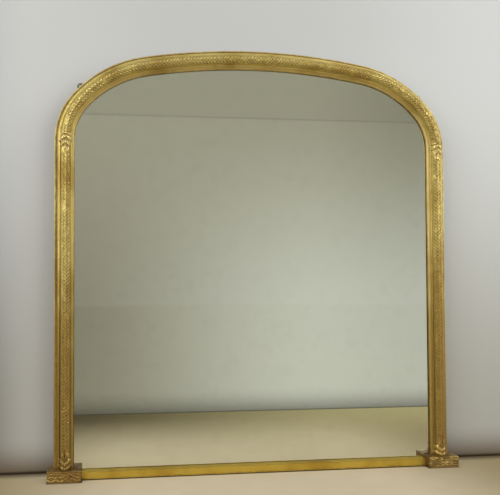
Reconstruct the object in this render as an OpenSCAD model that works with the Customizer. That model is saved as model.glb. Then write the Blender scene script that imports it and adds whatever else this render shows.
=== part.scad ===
// Giltwood overmantel mirror: a five-centred arch of torus moulding on a pine
// carcase, standing on two carved foot blocks, with acanthus leaves at the
// spring of the arch and at the foot of each stile.
//
// Millimetres. X runs along the shelf, +Z is up and +Y points to the wall.
// The origin is on the shelf, in the middle of the width and of the depth.
// A section is drawn as [u, d]: u outward from the sight edge of the glass,
// and d forward from the wall.

/* [Opening and arch] */
// Width of the glass that shows between the stiles
sight_w = 1320; // [1200:10:1400]
// Height of the spring line, where the arch leaves the stiles
spring_z = 1190; // [1000:10:1250]
// Height of the lower sight edge of the glass
sill_z = 31; // [28:1:35]
// Radius of the shoulder arc at the sight edge
shoulder_r = 185; // [165:5:205]
// Radius of the haunch arc at the sight edge
haunch_r = 375; // [350:5:400]
// Angle at which the shoulder arc passes into the haunch arc
shoulder_angle = 42; // [39:1:45]
// Angle at which the haunch arc passes into the crown arc
haunch_angle = 80; // [78:1:82]

/* [Gilt moulding] */
// Width of the slip that covers the edge of the glass
slip_w = 9; // [9:0.25:10]
// Height of the slip above the face of the glass
slip_h = 17; // [16:0.5:17.5]
// Radius of the hollow run in the slip
slip_cove_r = 15; // [14:0.5:16]
// Radius of the bead on the sight edge
sight_bead_r = 1.3; // [1:0.1:1.5]
// Radius of the fine bead inside the torus
inner_bead_r = 1.5; // [1.3:0.1:1.8]
// Radius of the torus
torus_r = 17; // [16:0.5:18]
// Height of the centre of the torus above the carcase
torus_rise = 23; // [22:0.5:24]
// Width of the quirk on each side of the torus
quirk_w = 0.7; // [0.5:0.1:1.2]
// Radius of the bead outside the torus
outer_bead_r = 4; // [3.4:0.1:4.4]
// Width of the flat fillet between the outer bead and the cove
fillet_w = 2.6; // [2:0.1:3]
// Radius of the cove on the outer edge
cove_r = 12; // [10:0.5:13]
// Height of the ground inside the torus above the carcase
inner_ground = 22.5; // [22:0.25:23]
// Height of the ground outside the torus above the carcase
outer_ground = 16; // [15:0.25:17]

/* [Glass] */
// Thickness of the glass plate
glass_t = 5; // [4:0.5:6]
// Thickness of the silvering and its paint
silver_t = 0.4; // [0.2:0.1:0.8]
// Width of glass covered by the slip
glass_lap = 8; // [6:0.5:8.5]
// Play between the edge of the glass and the wood round it
glass_play = 1; // [0.5:0.1:1]

/* [Carcase] */
// Thickness of the pine carcase
carcase_t = 18; // [16:1:22]
// Set-back of the carcase from the outer edge of the moulding
carcase_setback = 2; // [1:0.5:4]
// Length of each half-lap joint
lap_len = 46; // [36:2:60]
// Height of the rails above the shelf
rail_gap = 2; // [1:0.5:4]
// Thickness of the gilt bottom rail in front of the carcase
rail_t = 25; // [22:1:28]
// Height of the bevel that slopes from the rail's front to the glass
rail_bevel = 4; // [3:0.5:6]
// Length of each glazing block
block_len = 46; // [30:2:60]
// Reach of each glazing block behind the glass
block_reach = 15; // [10:1:20]

/* [Backboards] */
// Thickness of the backboards
board_t = 7; // [6:0.5:9]
// Reach of the boards past the sight edge, onto the carcase
board_lap = 45; // [40:1:46]
// Gap between neighbouring boards
board_gap = 1; // [0.5:0.1:2]
// Height of the lower ends of the boards above the shelf
board_foot = 8; // [6:1:12]

/* [Feet] */
// Height of the foot blocks
foot_h = 39; // [36:1:44]
// Projection of the foot blocks in front of the carcase
foot_out = 52; // [48:1:56]
// Overhang of the foot blocks past the outer edge of the moulding
foot_overhang = 20; // [15:1:26]
// Reach of the foot blocks inside the sight edge
foot_inset = 27; // [20:1:34]
// Radius of the rounded lower corners of the foot blocks
foot_corner_r = 9; // [5:1:12]
// Depth of the carved waves on the front of the foot blocks
wave_depth = 3; // [2:0.5:4]
// Height of each carved wave
wave_h = 5; // [3.5:0.5:5]

/* [Leaves] */
// Length of the capital leaves
capital_len = 70; // [60:1:80]
// Half width of the capital leaves
capital_half_w = 25; // [21:1:26]
// Rise of the capital leaves above the spring line
capital_rise = 22; // [18:1:26]
// Height of the base leaves above the foot blocks
base_leaf_len = 80; // [64:1:90]
// Half width of the base leaves
base_half_w = 28; // [25:1:28]
// Thickness of the leaves at their edges
leaf_edge_t = 1.4; // [1:0.1:2]
// Extra thickness of the leaves at the middle
leaf_crown_t = 3.6; // [2.5:0.1:4.5]

/* [Hanging plates and fasteners] */
// Angle of the hanging plates round the haunch
plate_angle = 47; // [45:1:55]
// Thickness of the hanging plates
plate_t = 2; // [1.5:0.1:3]
// Length of the part of each plate that is screwed to the carcase
plate_len = 46; // [40:1:60]
// Radius of the round tab of each hanging plate
plate_tab_r = 13; // [11:0.5:15]
// Projection of each tab past the outer edge of the moulding
plate_tab_out = 16; // [14:0.5:20]
// Radius of the wall screw's hole
wall_hole_r = 2.75; // [2:0.05:3.25]
// Distance of the wall screw's hole from the outer edge of the moulding
wall_hole_out = 8; // [6:0.5:10]
// Radius of the wood screws
screw_r = 2; // [1.5:0.1:2.25]
// Radius of the countersunk heads of the wood screws
screw_head_r = 4; // [3.5:0.1:4.5]
// Radius of the backboard nails
nail_r = 1.2; // [0.8:0.1:1.5]
// Radius of the heads of the backboard nails
nail_head_r = 2.8; // [2.2:0.1:3.2]
// Length of the backboard nails
nail_len = 20; // [16:1:22]

/* [Hidden] */
$fn = 72;
arc_fn = 360;

gilt = "goldenrod";
worn_gilt = "darkgoldenrod";
pine = "burlywood";
iron = "dimgray";

// Depths, forward from the wall
carcase_d0 = board_t;
carcase_d1 = carcase_d0 + carcase_t;
lap_d = carcase_d0 + carcase_t / 2;
glass_d1 = carcase_d1 + glass_t;
slip_d1 = glass_d1 + slip_h;
torus_d = carcase_d1 + torus_rise;
foot_d1 = carcase_d1 + foot_out;
wall_y = foot_d1 / 2;

// Places across the face, outward from the sight edge
rebate_u = glass_lap + glass_play;
inner_bead_u = slip_w + inner_bead_r;
torus_u = slip_w + 2 * inner_bead_r + quirk_w + torus_r;
outer_bead_u = torus_u + torus_r + quirk_w + outer_bead_r;
face_w = outer_bead_u + outer_bead_r + fillet_w + cove_r;
carcase_u1 = face_w - carcase_setback;
mid_u = (rebate_u + carcase_u1) / 2;

// Centres of the arcs of the right half of the arch, and the crown's radius,
// which closes the curve on the middle line
half_w = sight_w / 2;
shoulder_c = [half_w - shoulder_r, spring_z];
haunch_c = shoulder_c - (haunch_r - shoulder_r) * [cos(shoulder_angle), sin(shoulder_angle)];
crown_r = haunch_r + haunch_c[0] / cos(haunch_angle);
crown_c = [0, haunch_c[1] - (crown_r - haunch_r) * sin(haunch_angle)];

// Angle that a length takes up round an arc, in the middle of the carcase
function turn(r, length) = length / (r + mid_u) * 180 / PI;

// Heights
glass_z0 = sill_z - glass_lap;
board_half_w = half_w + board_lap;

// ---------------------------------------------------------------- arch geometry

function on_arc(c, r, a) = c + r * [cos(a), sin(a)];

// Height of the arch, offset u outward, at the distance x from the middle
function arch_z(x, u) =
    let (ax = abs(x), rc = crown_r + u, rh = haunch_r + u, rs = shoulder_r + u)
    ax <= rc * cos(haunch_angle) ? crown_c[1] + sqrt(rc * rc - ax * ax)
    : ax <= haunch_c[0] + rh * cos(shoulder_angle)
        ? haunch_c[1] + sqrt(rh * rh - pow(ax - haunch_c[0], 2))
    : shoulder_c[1] + sqrt(max(0, rs * rs - pow(ax - shoulder_c[0], 2)));

// Point [x, z] on the right stile and shoulder, u outward from the sight edge
// and v up from the spring line, measured along the middle of the torus
function face_point(u, v) =
    v <= 0 ? [half_w + u, spring_z + v]
    : on_arc(shoulder_c, shoulder_r + u, v / (shoulder_r + torus_u) * 180 / PI);

// Sector between two angles, which starts at the height z0 if c lies below it
module wedge(c, a0, a1, r, z0) {
    reach = 1.5 * r;
    rise = max(0, z0 - c[1]);
    polygon([c + rise * [cos(a0) / sin(a0), 1], on_arc(c, reach, a0),
             on_arc(c, reach, (a0 + a1) / 2), on_arc(c, reach, a1),
             c + rise * [cos(a1) / sin(a1), 1]]);
}

// Outline of the opening, offset u outward, from the height z0 to the crown
module arch_outline(u, z0) {
    translate([-half_w - u, z0]) square([2 * (half_w + u), spring_z - z0]);
    for (side = [0, 1]) mirror([side, 0]) {
        translate(shoulder_c) circle(shoulder_r + u, $fn = arc_fn);
        intersection() {
            translate(haunch_c) circle(haunch_r + u, $fn = arc_fn);
            wedge(haunch_c, shoulder_angle, 180 - haunch_angle, haunch_r + u, z0);
        }
    }
    intersection() {
        translate(crown_c) circle(crown_r + u, $fn = 4 * arc_fn);
        wedge(crown_c, haunch_angle, 180 - haunch_angle, crown_r + u, z0);
    }
}

// ---------------------------------------------------------------- sweeps

module at_side(side) {
    if (side < 0) mirror([1, 0, 0]) children();
    else children();
}

// Sweeps a [u, d] section up the right stile
module run_up(z0, z1)
    translate([half_w, wall_y, z0]) mirror([0, 1, 0])
        linear_extrude(height = z1 - z0) children();

// Sweeps a [u, d] section round an arc of the arch
module run_round(c, r, a0, a1)
    translate([c[0], wall_y, c[1]]) rotate([90, 0, 0])
        rotate_extrude(angle = a1 - a0, start = a0, $fn = arc_fn)
            translate([r, 0]) children();

module run_shoulder() run_round(shoulder_c, shoulder_r, 0, shoulder_angle) children();

module run_haunch() run_round(haunch_c, haunch_r, shoulder_angle, haunch_angle) children();

module run_crown() run_round(crown_c, crown_r, haunch_angle, 180 - haunch_angle) children();

// Sweeps a [d, z] section along the shelf, from x0 to x1
module run_along(x0, x1)
    translate([x0, wall_y, 0]) rotate([90, 0, 90])
        linear_extrude(height = x1 - x0) mirror([1, 0]) children();

// Raises an [x, z] outline forward from depth d0 to depth d1
module forward(d0, d1)
    translate([0, wall_y - d0, 0]) rotate([90, 0, 0])
        linear_extrude(height = d1 - d0) children();

// ---------------------------------------------------------------- sections

module box_section(u0, u1, d0, d1)
    translate([u0, d0]) square([u1 - u0, d1 - d0]);

// Torus between two beads, on a ground that steps down to a cove outside
module moulding_section() {
    difference() {
        union() {
            box_section(slip_w, face_w, carcase_d1, carcase_d1 + outer_ground);
            box_section(slip_w, torus_u, carcase_d1, carcase_d1 + inner_ground);
            intersection() {
                translate([torus_u, torus_d]) circle(torus_r);
                box_section(slip_w, face_w, carcase_d1, foot_d1);
            }
            translate([inner_bead_u, carcase_d1 + inner_ground]) circle(inner_bead_r);
            translate([outer_bead_u, carcase_d1 + outer_ground]) circle(outer_bead_r);
        }
        translate([face_w, carcase_d1 + outer_ground]) circle(cove_r);
    }
}

// Width of the slip's outer edge, and depth of the hollow's centre below it
slip_lip = 0.6;
slip_drop = 2.3;

// Hollow slip that lies on the glass, with a bead on the sight edge
module slip_section() {
    cove_u = slip_w - slip_lip - sqrt(pow(slip_cove_r, 2) - pow(slip_drop, 2));
    difference() {
        box_section(0, slip_w, glass_d1, slip_d1);
        translate([cove_u, slip_d1 - slip_drop]) circle(slip_cove_r);
    }
    translate([sight_bead_r, glass_d1 + 1.5 * sight_bead_r]) circle(sight_bead_r);
}

module carcase_section()
    box_section(rebate_u, carcase_u1, carcase_d0, carcase_d1);

block_toe = 4;
block_clear = 2;

// Wedge glued in the corner between the carcase and the back of the glass
module block_section() {
    back = carcase_d1 - silver_t;
    polygon([[rebate_u, carcase_d0 + block_clear], [rebate_u, back], [rebate_u - block_reach, back],
             [rebate_u - block_reach, back - block_toe]]);
}

// ---------------------------------------------------------------- fasteners

tongue_play = 1;
tongue_root = 8;
corner_screw_gap = 30;
foot_screw_gap = 28;
screw_head_h = screw_head_r - screw_r;
nail_head_h = 1;
lap_screw_len = 15;
foot_screw_len = 38;
plate_screw_len = 16;

module screw(x, z, d, length)
    translate([x, wall_y - d, z]) rotate([90, 0, 0]) {
        cylinder(h = screw_head_h, r1 = screw_head_r, r2 = screw_r, $fn = 32);
        translate([0, 0, screw_head_h])
            cylinder(h = length - screw_head_h, r = screw_r, $fn = 32);
    }

module nail(x, z)
    translate([x, wall_y, z]) rotate([90, 0, 0]) {
        cylinder(h = nail_head_h, r = nail_head_r, $fn = 24);
        translate([0, 0, nail_head_h])
            cylinder(h = nail_len - nail_head_h, r = nail_r, $fn = 24);
    }

// Places [x, z] of the screws in the laps of the right half
function lap_spots(c, r, a) =
    [for (k = [0.25, 0.75]) on_arc(c, r + mid_u, a + k * turn(r, lap_len))];
arch_lap_spots = concat(lap_spots(shoulder_c, shoulder_r, 0),
                        lap_spots(haunch_c, haunch_r, shoulder_angle),
                        lap_spots(crown_c, crown_r, haunch_angle));
corner_lap_spots = [for (k = [-0.5, 0.5])
    [half_w + mid_u + k * corner_screw_gap, (rail_gap + glass_z0) / 2]];
foot_spots = [for (k = [-0.5, 0.5])
    [half_w + mid_u + k * foot_screw_gap, (glass_z0 + foot_h) / 2]];

module screws(spots, d, length)
    for (spot = spots) screw(spot[0], spot[1], d, length);

// Nails: two at each end of every board, and three up each outer board
board_count = 6;
board_w = (2 * board_half_w - (board_count - 1) * board_gap) / board_count;
board_pitch = board_w + board_gap;
nail_u = (rebate_u + board_lap) / 2;
nail_edge = 40;
nail_inset = 12;

function board_x0(k) = -board_half_w + k * board_pitch;

function end_nail_spots(k) =
    let (last = half_w + nail_u - nail_inset)
    [for (x = [board_x0(k) + nail_edge, board_x0(k) + board_w - nail_edge])
        let (px = max(-last, min(last, x)))
        each [[px, (board_foot + glass_z0) / 2], [px, arch_z(px, nail_u)]]];

side_nail_spots =
    [for (side = [-1, 1], k = [1 : 3]) [side * (half_w + nail_u), k * spring_z / 4]];

nail_spots = concat([for (k = [0 : board_count - 1]) each end_nail_spots(k)], side_nail_spots);

module nails() for (spot = nail_spots) nail(spot[0], spot[1]);

// ---------------------------------------------------------------- gilt front

module stile_moulding(side)
    color(gilt) at_side(side) run_up(foot_h, spring_z) moulding_section();

module shoulder_moulding(side)
    color(gilt) at_side(side) run_shoulder() moulding_section();

module haunch_moulding(side)
    color(gilt) at_side(side) run_haunch() moulding_section();

module crown_moulding()
    color(gilt) run_crown() moulding_section();

module slip_stile(side)
    color(worn_gilt) at_side(side) run_up(foot_h, spring_z) slip_section();

module slip_shoulder(side)
    color(worn_gilt) at_side(side) run_shoulder() slip_section();

module slip_haunch(side)
    color(worn_gilt) at_side(side) run_haunch() slip_section();

module slip_crown()
    color(worn_gilt) run_crown() slip_section();

rail_lip = 1;

// Plain rail with a bevel on top and a ledge that carries the glass
module bottom_rail() {
    front = carcase_d1 + rail_t;
    end = half_w - foot_inset;
    color(worn_gilt) run_along(-end, end)
        polygon([[carcase_d1, rail_gap], [front, rail_gap], [front, sill_z - rail_bevel],
                 [glass_d1 + rail_lip, sill_z], [glass_d1, sill_z],
                 [glass_d1, glass_z0], [carcase_d1, glass_z0]]);
}

// ---------------------------------------------------------------- feet

wave_count = 4;
wave_steps = 28;
wave_swing = 1.5;
wave_turns = 2.5;
foot_margin = 4;
cut = 1;

// One carved wave, drawn in [x, z] across the width w, thinning to both ends
module wave(w, phase) {
    function lift(k) = wave_swing * sin(360 * wave_turns * k / wave_steps + phase);
    function swell(k) = wave_h / 2 * pow(sin(180 * (k + 1) / (wave_steps + 2)), 0.35);
    polygon([
        for (k = [0 : wave_steps]) [w * k / wave_steps, lift(k) - swell(k)],
        for (k = [wave_steps : -1 : 0]) [w * k / wave_steps, lift(k) + swell(k)]
    ]);
}

module foot_outline(w) {
    translate([0, foot_corner_r]) square([w, foot_h - foot_corner_r]);
    translate([foot_corner_r, 0]) square([w - 2 * foot_corner_r, foot_corner_r]);
    for (x = [foot_corner_r, w - foot_corner_r])
        translate([x, foot_corner_r]) circle(foot_corner_r);
}

// Block that houses the end of the stile, with waves carved across its front
module foot(side) {
    x0 = half_w - foot_inset;
    x1 = half_w + face_w + foot_overhang;
    wave_w = x1 - x0 - 2 * foot_margin;
    pitch = (foot_h - 2 * foot_margin - wave_h) / (wave_count - 1);
    color(gilt) at_side(side) {
        difference() {
            translate([x0, 0, 0]) forward(carcase_d0, foot_d1 - wave_depth)
                foot_outline(x1 - x0);
            // Housing for the stile and the carcase rail
            forward(carcase_d0 - cut, carcase_d1) translate([x0 - cut, -cut])
                square([half_w + carcase_u1 - x0 + cut, foot_h + 2 * cut]);
            // Pocket for the corner of the glass
            forward(carcase_d1 - cut, glass_d1) translate([x0 - cut, glass_z0])
                square([half_w + rebate_u - x0 + cut, foot_h]);
            screws(foot_spots, carcase_d0, foot_screw_len);
        }
        for (k = [0 : wave_count - 1])
            translate([x0 + foot_margin, 0, 0])
                forward(foot_d1 - wave_depth, foot_d1)
                    translate([0, foot_margin + wave_h / 2 + k * pitch]) wave(wave_w, 75 * k);
    }
}

// ---------------------------------------------------------------- leaves

leaf_gap = 0.3;
leaf_steps = 5;
leaf_cols = 14;
seat_spread = 3;
seat_fall = 1.2;
lobe_rise = 2;
eye_depth = 1.2;
rib_rise = 1.5;
tip_curl = 2.6;

// Outline of half a leaf, as [share of the half width, share of the length]: from
// the root to the tips of three lobes, each with the notch behind it, and the end
capital_outline = [[0.68, 0], [0.86, 0.16], [0.58, 0.215], [1, 0.45],
                   [0.52, 0.5], [0.64, 0.74], [0.34, 0.765], [0.09, 1]];
base_outline = [[0.75, 0], [1, 0.215], [0.62, 0.285], [0.86, 0.5],
                [0.46, 0.545], [0.54, 0.76], [0.3, 0.785], [0.09, 1]];
// Places along the midrib from which the ribs run out to those points, and the
// swell of the outline after each point, as a share of the way to the next
rib_shares = [0, 0.05, 0.13, 0.24, 0.34, 0.48, 0.58, 1];
outline_swells = [0.15, -0.1, 0.22, -0.1, 0.22, -0.1, 0.14];
leaf_rows = leaf_steps * len(outline_swells);

// Depth of the face that a leaf lies on: the torus, down to the beads beside it, and
// on into the hollow of the slip
function seat_d(u) =
    let (du = abs(u - torus_u), top = torus_d + torus_r,
         bead = carcase_d1 + (u < torus_u ? inner_ground + inner_bead_r
                                          : outer_ground + outer_bead_r),
         fall = seat_fall * max(0, inner_bead_u - u),
         drape = bead - fall + (top - bead) * max(0, 1 - pow(du / (torus_r + seat_spread), 2.6)))
    leaf_gap + (du < torus_r ? max(drape, torus_d + sqrt(torus_r * torus_r - du * du)) : drape);

// Values of row i of a leaf: the end of its rib on the outline, its start on the
// midrib, and its crest, which is 1 at the tip of a lobe and 0 in a notch
function leaf_row(outline, i) =
    let (k = min(len(outline_swells) - 1, floor(i / leaf_steps)), f = i / leaf_steps - k,
         way = outline[k + 1] - outline[k], swell = outline_swells[k] * sin(180 * f))
    [outline[k] + f * way + swell * [way[1], -way[0]],
     rib_shares[k] + f * (rib_shares[k + 1] - rib_shares[k]),
     k % 2 == 0 ? sin(90 * f) : cos(90 * f)];

// Thickness at t across the leaf (-1 to 1): lobes that swell along their ribs, with
// an eye behind each notch, a raised midrib and a curled tip
function leaf_t(row, t, s) =
    let (a = abs(t), crest = row[2], notch = pow(1 - crest, 2))
    leaf_edge_t + leaf_crown_t * (1 - a * a) * (0.5 + 0.5 * crest)
    + lobe_rise * pow(crest, 1.5) * sin(180 * pow(a, 1.3)) + crest * a * a
    - notch * (eye_depth * exp(-pow((a - 0.86) / 0.16, 2)) * min(1, 5 - 5 * a) + a * (1 - a))
    + rib_rise * exp(-pow(a / 0.1, 2)) * (1 - 0.7 * row[1])
    + tip_curl * exp(-pow((s - 0.97) / 0.08, 2)) * (1 - 0.6 * a);

// Closed leaf from v0 to v1 along the stile, with its root at v0
module leaf(v0, v1, leaf_half_w, outline) {
    function across(j) = -1 + 2 * j / leaf_cols;
    function vertex(i, j, front) =
        let (row = leaf_row(outline, i), t = across(j), a = abs(t),
             s = row[1] + (row[0][1] - row[1]) * pow(a, 1.15),
             u = torus_u + t * leaf_half_w * row[0][0],
             p = face_point(u, v0 + (v1 - v0) * s),
             d = seat_d(u) + (front ? leaf_t(row, t, s) : 0))
        [p[0], wall_y - d, p[1]];
    n = leaf_cols + 1;
    m = leaf_rows + 1;
    points = [for (front = [false, true], i = [0 : leaf_rows], j = [0 : leaf_cols])
        vertex(i, j, front)];
    up = v1 > v0;
    function id(i, j, front) = (front ? m * n : 0) + i * n + j;
    function quad(a, b, c, d) = up ? [[a, b, c], [a, c, d]] : [[a, c, b], [a, d, c]];
    faces = [
        for (i = [0 : leaf_rows - 1], j = [0 : leaf_cols - 1], f = [
            quad(id(i, j, true), id(i + 1, j, true), id(i + 1, j + 1, true), id(i, j + 1, true)),
            quad(id(i, j, false), id(i, j + 1, false), id(i + 1, j + 1, false),
                 id(i + 1, j, false))]) each f,
        for (i = [0 : leaf_rows - 1], f = [
            quad(id(i, 0, false), id(i + 1, 0, false), id(i + 1, 0, true), id(i, 0, true)),
            quad(id(i, leaf_cols, false), id(i, leaf_cols, true), id(i + 1, leaf_cols, true),
                 id(i + 1, leaf_cols, false))]) each f,
        for (j = [0 : leaf_cols - 1], f = [
            quad(id(0, j, false), id(0, j, true), id(0, j + 1, true), id(0, j + 1, false)),
            quad(id(leaf_rows, j, false), id(leaf_rows, j + 1, false),
                 id(leaf_rows, j + 1, true), id(leaf_rows, j, true))]) each f
    ];
    polyhedron(points, faces, convexity = 4);
}

module capital_leaf(side)
    color(worn_gilt) at_side(side)
        leaf(capital_rise, capital_rise - capital_len, capital_half_w, capital_outline);

module base_leaf(side)
    color(worn_gilt) at_side(side)
        leaf(foot_h + leaf_gap - spring_z, foot_h + base_leaf_len - spring_z, base_half_w,
             base_outline);

// ---------------------------------------------------------------- carcase

// Back half of a lap joint: a tongue that runs on round the next piece's arc
module tongue(c, r, a)
    run_round(c, r, a - turn(r, tongue_root), a + turn(r, lap_len))
        box_section(rebate_u + tongue_play, carcase_u1 - tongue_play, carcase_d0, lap_d);

// Space for that tongue, cut from the back of the next piece
module housing(c, r, a)
    run_round(c, r, a - turn(r, tongue_root), a + turn(r, lap_len))
        box_section(rebate_u - tongue_play, carcase_u1 + tongue_play, 0, lap_d);

// Stile with a tongue at the top, and housed at the bottom over the carcase rail
module carcase_stile(side)
    color(pine) at_side(side) difference() {
        union() {
            run_up(rail_gap, spring_z) carcase_section();
            tongue(shoulder_c, shoulder_r, 0);
        }
        run_up(0, glass_z0) box_section(0, face_w, 0, lap_d);
        screws(concat(arch_lap_spots, corner_lap_spots), carcase_d0, lap_screw_len);
        screws(foot_spots, carcase_d0, foot_screw_len);
        nails();
    }

module carcase_shoulder(side)
    color(pine) at_side(side) difference() {
        union() {
            run_shoulder() carcase_section();
            tongue(haunch_c, haunch_r, shoulder_angle);
        }
        housing(shoulder_c, shoulder_r, 0);
        screws(arch_lap_spots, carcase_d0, lap_screw_len);
        plate_fixings();
        nails();
    }

module carcase_haunch(side)
    color(pine) at_side(side) difference() {
        union() {
            run_haunch() carcase_section();
            tongue(crown_c, crown_r, haunch_angle);
        }
        housing(haunch_c, haunch_r, shoulder_angle);
        screws(arch_lap_spots, carcase_d0, lap_screw_len);
        plate_fixings();
        nails();
    }

module carcase_crown()
    color(pine) difference() {
        run_crown() carcase_section();
        for (side = [-1, 1]) at_side(side) {
            housing(crown_c, crown_r, haunch_angle);
            screws(arch_lap_spots, carcase_d0, lap_screw_len);
        }
        nails();
    }

// Bottom rail of the carcase, with half-laps that keep its back half
module carcase_rail()
    color(pine) difference() {
        union() {
            run_along(-half_w - rebate_u, half_w + rebate_u)
                translate([carcase_d0, rail_gap]) square([carcase_t, glass_z0 - rail_gap]);
            run_along(-half_w - carcase_u1, half_w + carcase_u1)
                translate([carcase_d0, rail_gap])
                    square([lap_d - carcase_d0, glass_z0 - rail_gap]);
        }
        for (side = [-1, 1]) at_side(side)
            screws(corner_lap_spots, carcase_d0, lap_screw_len);
        nails();
    }

// ---------------------------------------------------------------- glass

module glass_plate()
    color("lightsteelblue") forward(carcase_d1, glass_d1) arch_outline(glass_lap, glass_z0);

module silvering()
    color("silver") forward(carcase_d1 - silver_t, carcase_d1)
        arch_outline(glass_lap, glass_z0);

top_angle = 90;
crown_block_step = 5;

// Wedges along the stiles, round the arch and along the rail
module glazing_blocks() {
    module round_block(c, r, a)
        run_round(c, r, a - turn(r, block_len) / 2, a + turn(r, block_len) / 2) block_section();
    color(pine) {
        for (side = [-1, 1]) at_side(side) {
            for (k = [1 : 3]) {
                z = k * spring_z / 4;
                run_up(z - block_len / 2, z + block_len / 2) block_section();
            }
            round_block(shoulder_c, shoulder_r, shoulder_angle / 2);
            round_block(haunch_c, haunch_r, (shoulder_angle + haunch_angle) / 2);
        }
        for (x = [-1, 0, 1])
            round_block(crown_c, crown_r, top_angle + x * crown_block_step);
        for (k = [-1.5 : 1.5]) {
            x = k * sight_w / 4;
            run_along(x - block_len / 2, x + block_len / 2)
                translate([0, glass_z0 + rebate_u]) rotate(-90) block_section();
        }
    }
}

// ---------------------------------------------------------------- backboards

// Vertical board number k, from 0, cut to the arch at its upper end
module backboard(k)
    color(pine) difference() {
        forward(0, board_t) intersection() {
            arch_outline(board_lap, board_foot);
            translate([board_x0(k), 0]) square([board_w, 2 * spring_z]);
        }
        nails();
    }

module backboard_nails()
    color(iron) nails();

// ---------------------------------------------------------------- hanging plates

plate_clear = 2;
plate_hole_end = 8;
plate_u0 = board_lap + plate_clear;
plate_u1 = carcase_u1 - plate_clear;
plate_mid_u = (plate_u0 + plate_u1) / 2;
tab_u = face_w + plate_tab_out - plate_tab_r;
plate_spread = plate_len / 2 - plate_hole_end;

// Moves an outline drawn as [along the arch, outward from the sight edge]
module on_haunch()
    translate(haunch_c) rotate(plate_angle - 90) translate([0, haunch_r]) children();

function haunch_spot(along, u) =
    let (a = plate_angle - 90) haunch_c + [cos(a) * along - sin(a) * (haunch_r + u),
                                           sin(a) * along + cos(a) * (haunch_r + u)];

plate_spots = [for (k = [-1, 1]) haunch_spot(k * plate_spread, plate_mid_u)];

module plate_fixings() screws(plate_spots, carcase_d0 - plate_t, plate_screw_len);

// Flat plate with two countersunk holes, and a round tab with the wall screw's hole
module hanging_plate(side)
    color(iron) at_side(side) difference() {
        forward(carcase_d0 - plate_t, carcase_d0) difference() {
            on_haunch() {
                translate([-plate_len / 2, plate_u0]) square([plate_len, plate_u1 - plate_u0]);
                translate([-plate_tab_r, plate_mid_u])
                    square([2 * plate_tab_r, tab_u - plate_mid_u]);
                translate([0, tab_u]) circle(plate_tab_r);
            }
            on_haunch() translate([0, face_w + wall_hole_out]) circle(wall_hole_r);
        }
        plate_fixings();
    }

module plate_screws()
    color(iron) for (side = [-1, 1]) at_side(side) plate_fixings();

module foot_screws()
    color(iron) for (side = [-1, 1]) at_side(side)
        screws(foot_spots, carcase_d0, foot_screw_len);

module lap_screws()
    color(iron) for (side = [-1, 1]) at_side(side)
        screws(concat(arch_lap_spots, corner_lap_spots), carcase_d0, lap_screw_len);

// ---------------------------------------------------------------- assembly

stile_moulding(-1);  // stile_moulding_left
stile_moulding(1);  // stile_moulding_right
shoulder_moulding(-1);  // shoulder_moulding_left
shoulder_moulding(1);  // shoulder_moulding_right
haunch_moulding(-1);  // haunch_moulding_left
haunch_moulding(1);  // haunch_moulding_right
crown_moulding();
slip_stile(-1);  // slip_stile_left
slip_stile(1);  // slip_stile_right
slip_shoulder(-1);  // slip_shoulder_left
slip_shoulder(1);  // slip_shoulder_right
slip_haunch(-1);  // slip_haunch_left
slip_haunch(1);  // slip_haunch_right
slip_crown();
bottom_rail();
foot(-1);  // foot_left
foot(1);  // foot_right
capital_leaf(-1);  // capital_leaf_left
capital_leaf(1);  // capital_leaf_right
base_leaf(-1);  // base_leaf_left
base_leaf(1);  // base_leaf_right
carcase_stile(-1);  // carcase_stile_left
carcase_stile(1);  // carcase_stile_right
carcase_shoulder(-1);  // carcase_shoulder_left
carcase_shoulder(1);  // carcase_shoulder_right
carcase_haunch(-1);  // carcase_haunch_left
carcase_haunch(1);  // carcase_haunch_right
carcase_crown();
carcase_rail();
glass_plate();
silvering();
glazing_blocks();
backboard(0);  // backboard_1
backboard(1);  // backboard_2
backboard(2);  // backboard_3
backboard(3);  // backboard_4
backboard(4);  // backboard_5
backboard(5);  // backboard_6
backboard_nails();
hanging_plate(-1);  // hanging_plate_left
hanging_plate(1);  // hanging_plate_right
plate_screws();
foot_screws();
lap_screws();
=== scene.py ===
"""Looks of the giltwood overmantel mirror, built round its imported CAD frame.

Millimetres until a mesh is made, and the CAD's frame: X along the shelf, +Z up and
+Y towards the wall. A section is drawn as (u, d): u outward from the sight edge of
the glass, and d forward from the wall.
"""

import logging
import math
from dataclasses import dataclass, field
from enum import Enum

import bpy
import numpy as np
from mathutils import Matrix, Vector


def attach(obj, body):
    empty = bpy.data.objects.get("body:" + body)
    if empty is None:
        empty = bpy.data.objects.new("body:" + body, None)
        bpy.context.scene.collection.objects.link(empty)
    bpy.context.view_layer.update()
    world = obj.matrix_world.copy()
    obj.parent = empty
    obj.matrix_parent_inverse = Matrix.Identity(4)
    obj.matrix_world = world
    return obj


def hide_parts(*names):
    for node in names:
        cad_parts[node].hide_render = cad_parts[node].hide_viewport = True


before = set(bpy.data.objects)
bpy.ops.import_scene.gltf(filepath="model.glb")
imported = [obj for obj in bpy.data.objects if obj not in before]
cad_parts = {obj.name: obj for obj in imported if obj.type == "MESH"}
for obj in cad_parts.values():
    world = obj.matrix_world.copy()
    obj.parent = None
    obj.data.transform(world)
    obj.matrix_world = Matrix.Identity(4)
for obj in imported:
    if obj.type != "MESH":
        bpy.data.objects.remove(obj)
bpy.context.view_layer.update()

LOG = logging.getLogger("overmantel")
MM = 0.001
BODY = "root"

Array = np.ndarray
Colour = tuple[float, float, float, float]
Pair = tuple[float, float]
Material = bpy.types.Material
Node = bpy.types.Node
Piece = bpy.types.Object
Socket = bpy.types.NodeSocket
Tree = bpy.types.NodeTree


class Side(Enum):
    """Half of the mirror, as seen from the front."""

    LEFT = -1
    RIGHT = 1

    @property
    def word(self) -> str:
        """Its name, as it stands in the names of nodes and pieces."""
        return self.name.lower()


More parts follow.
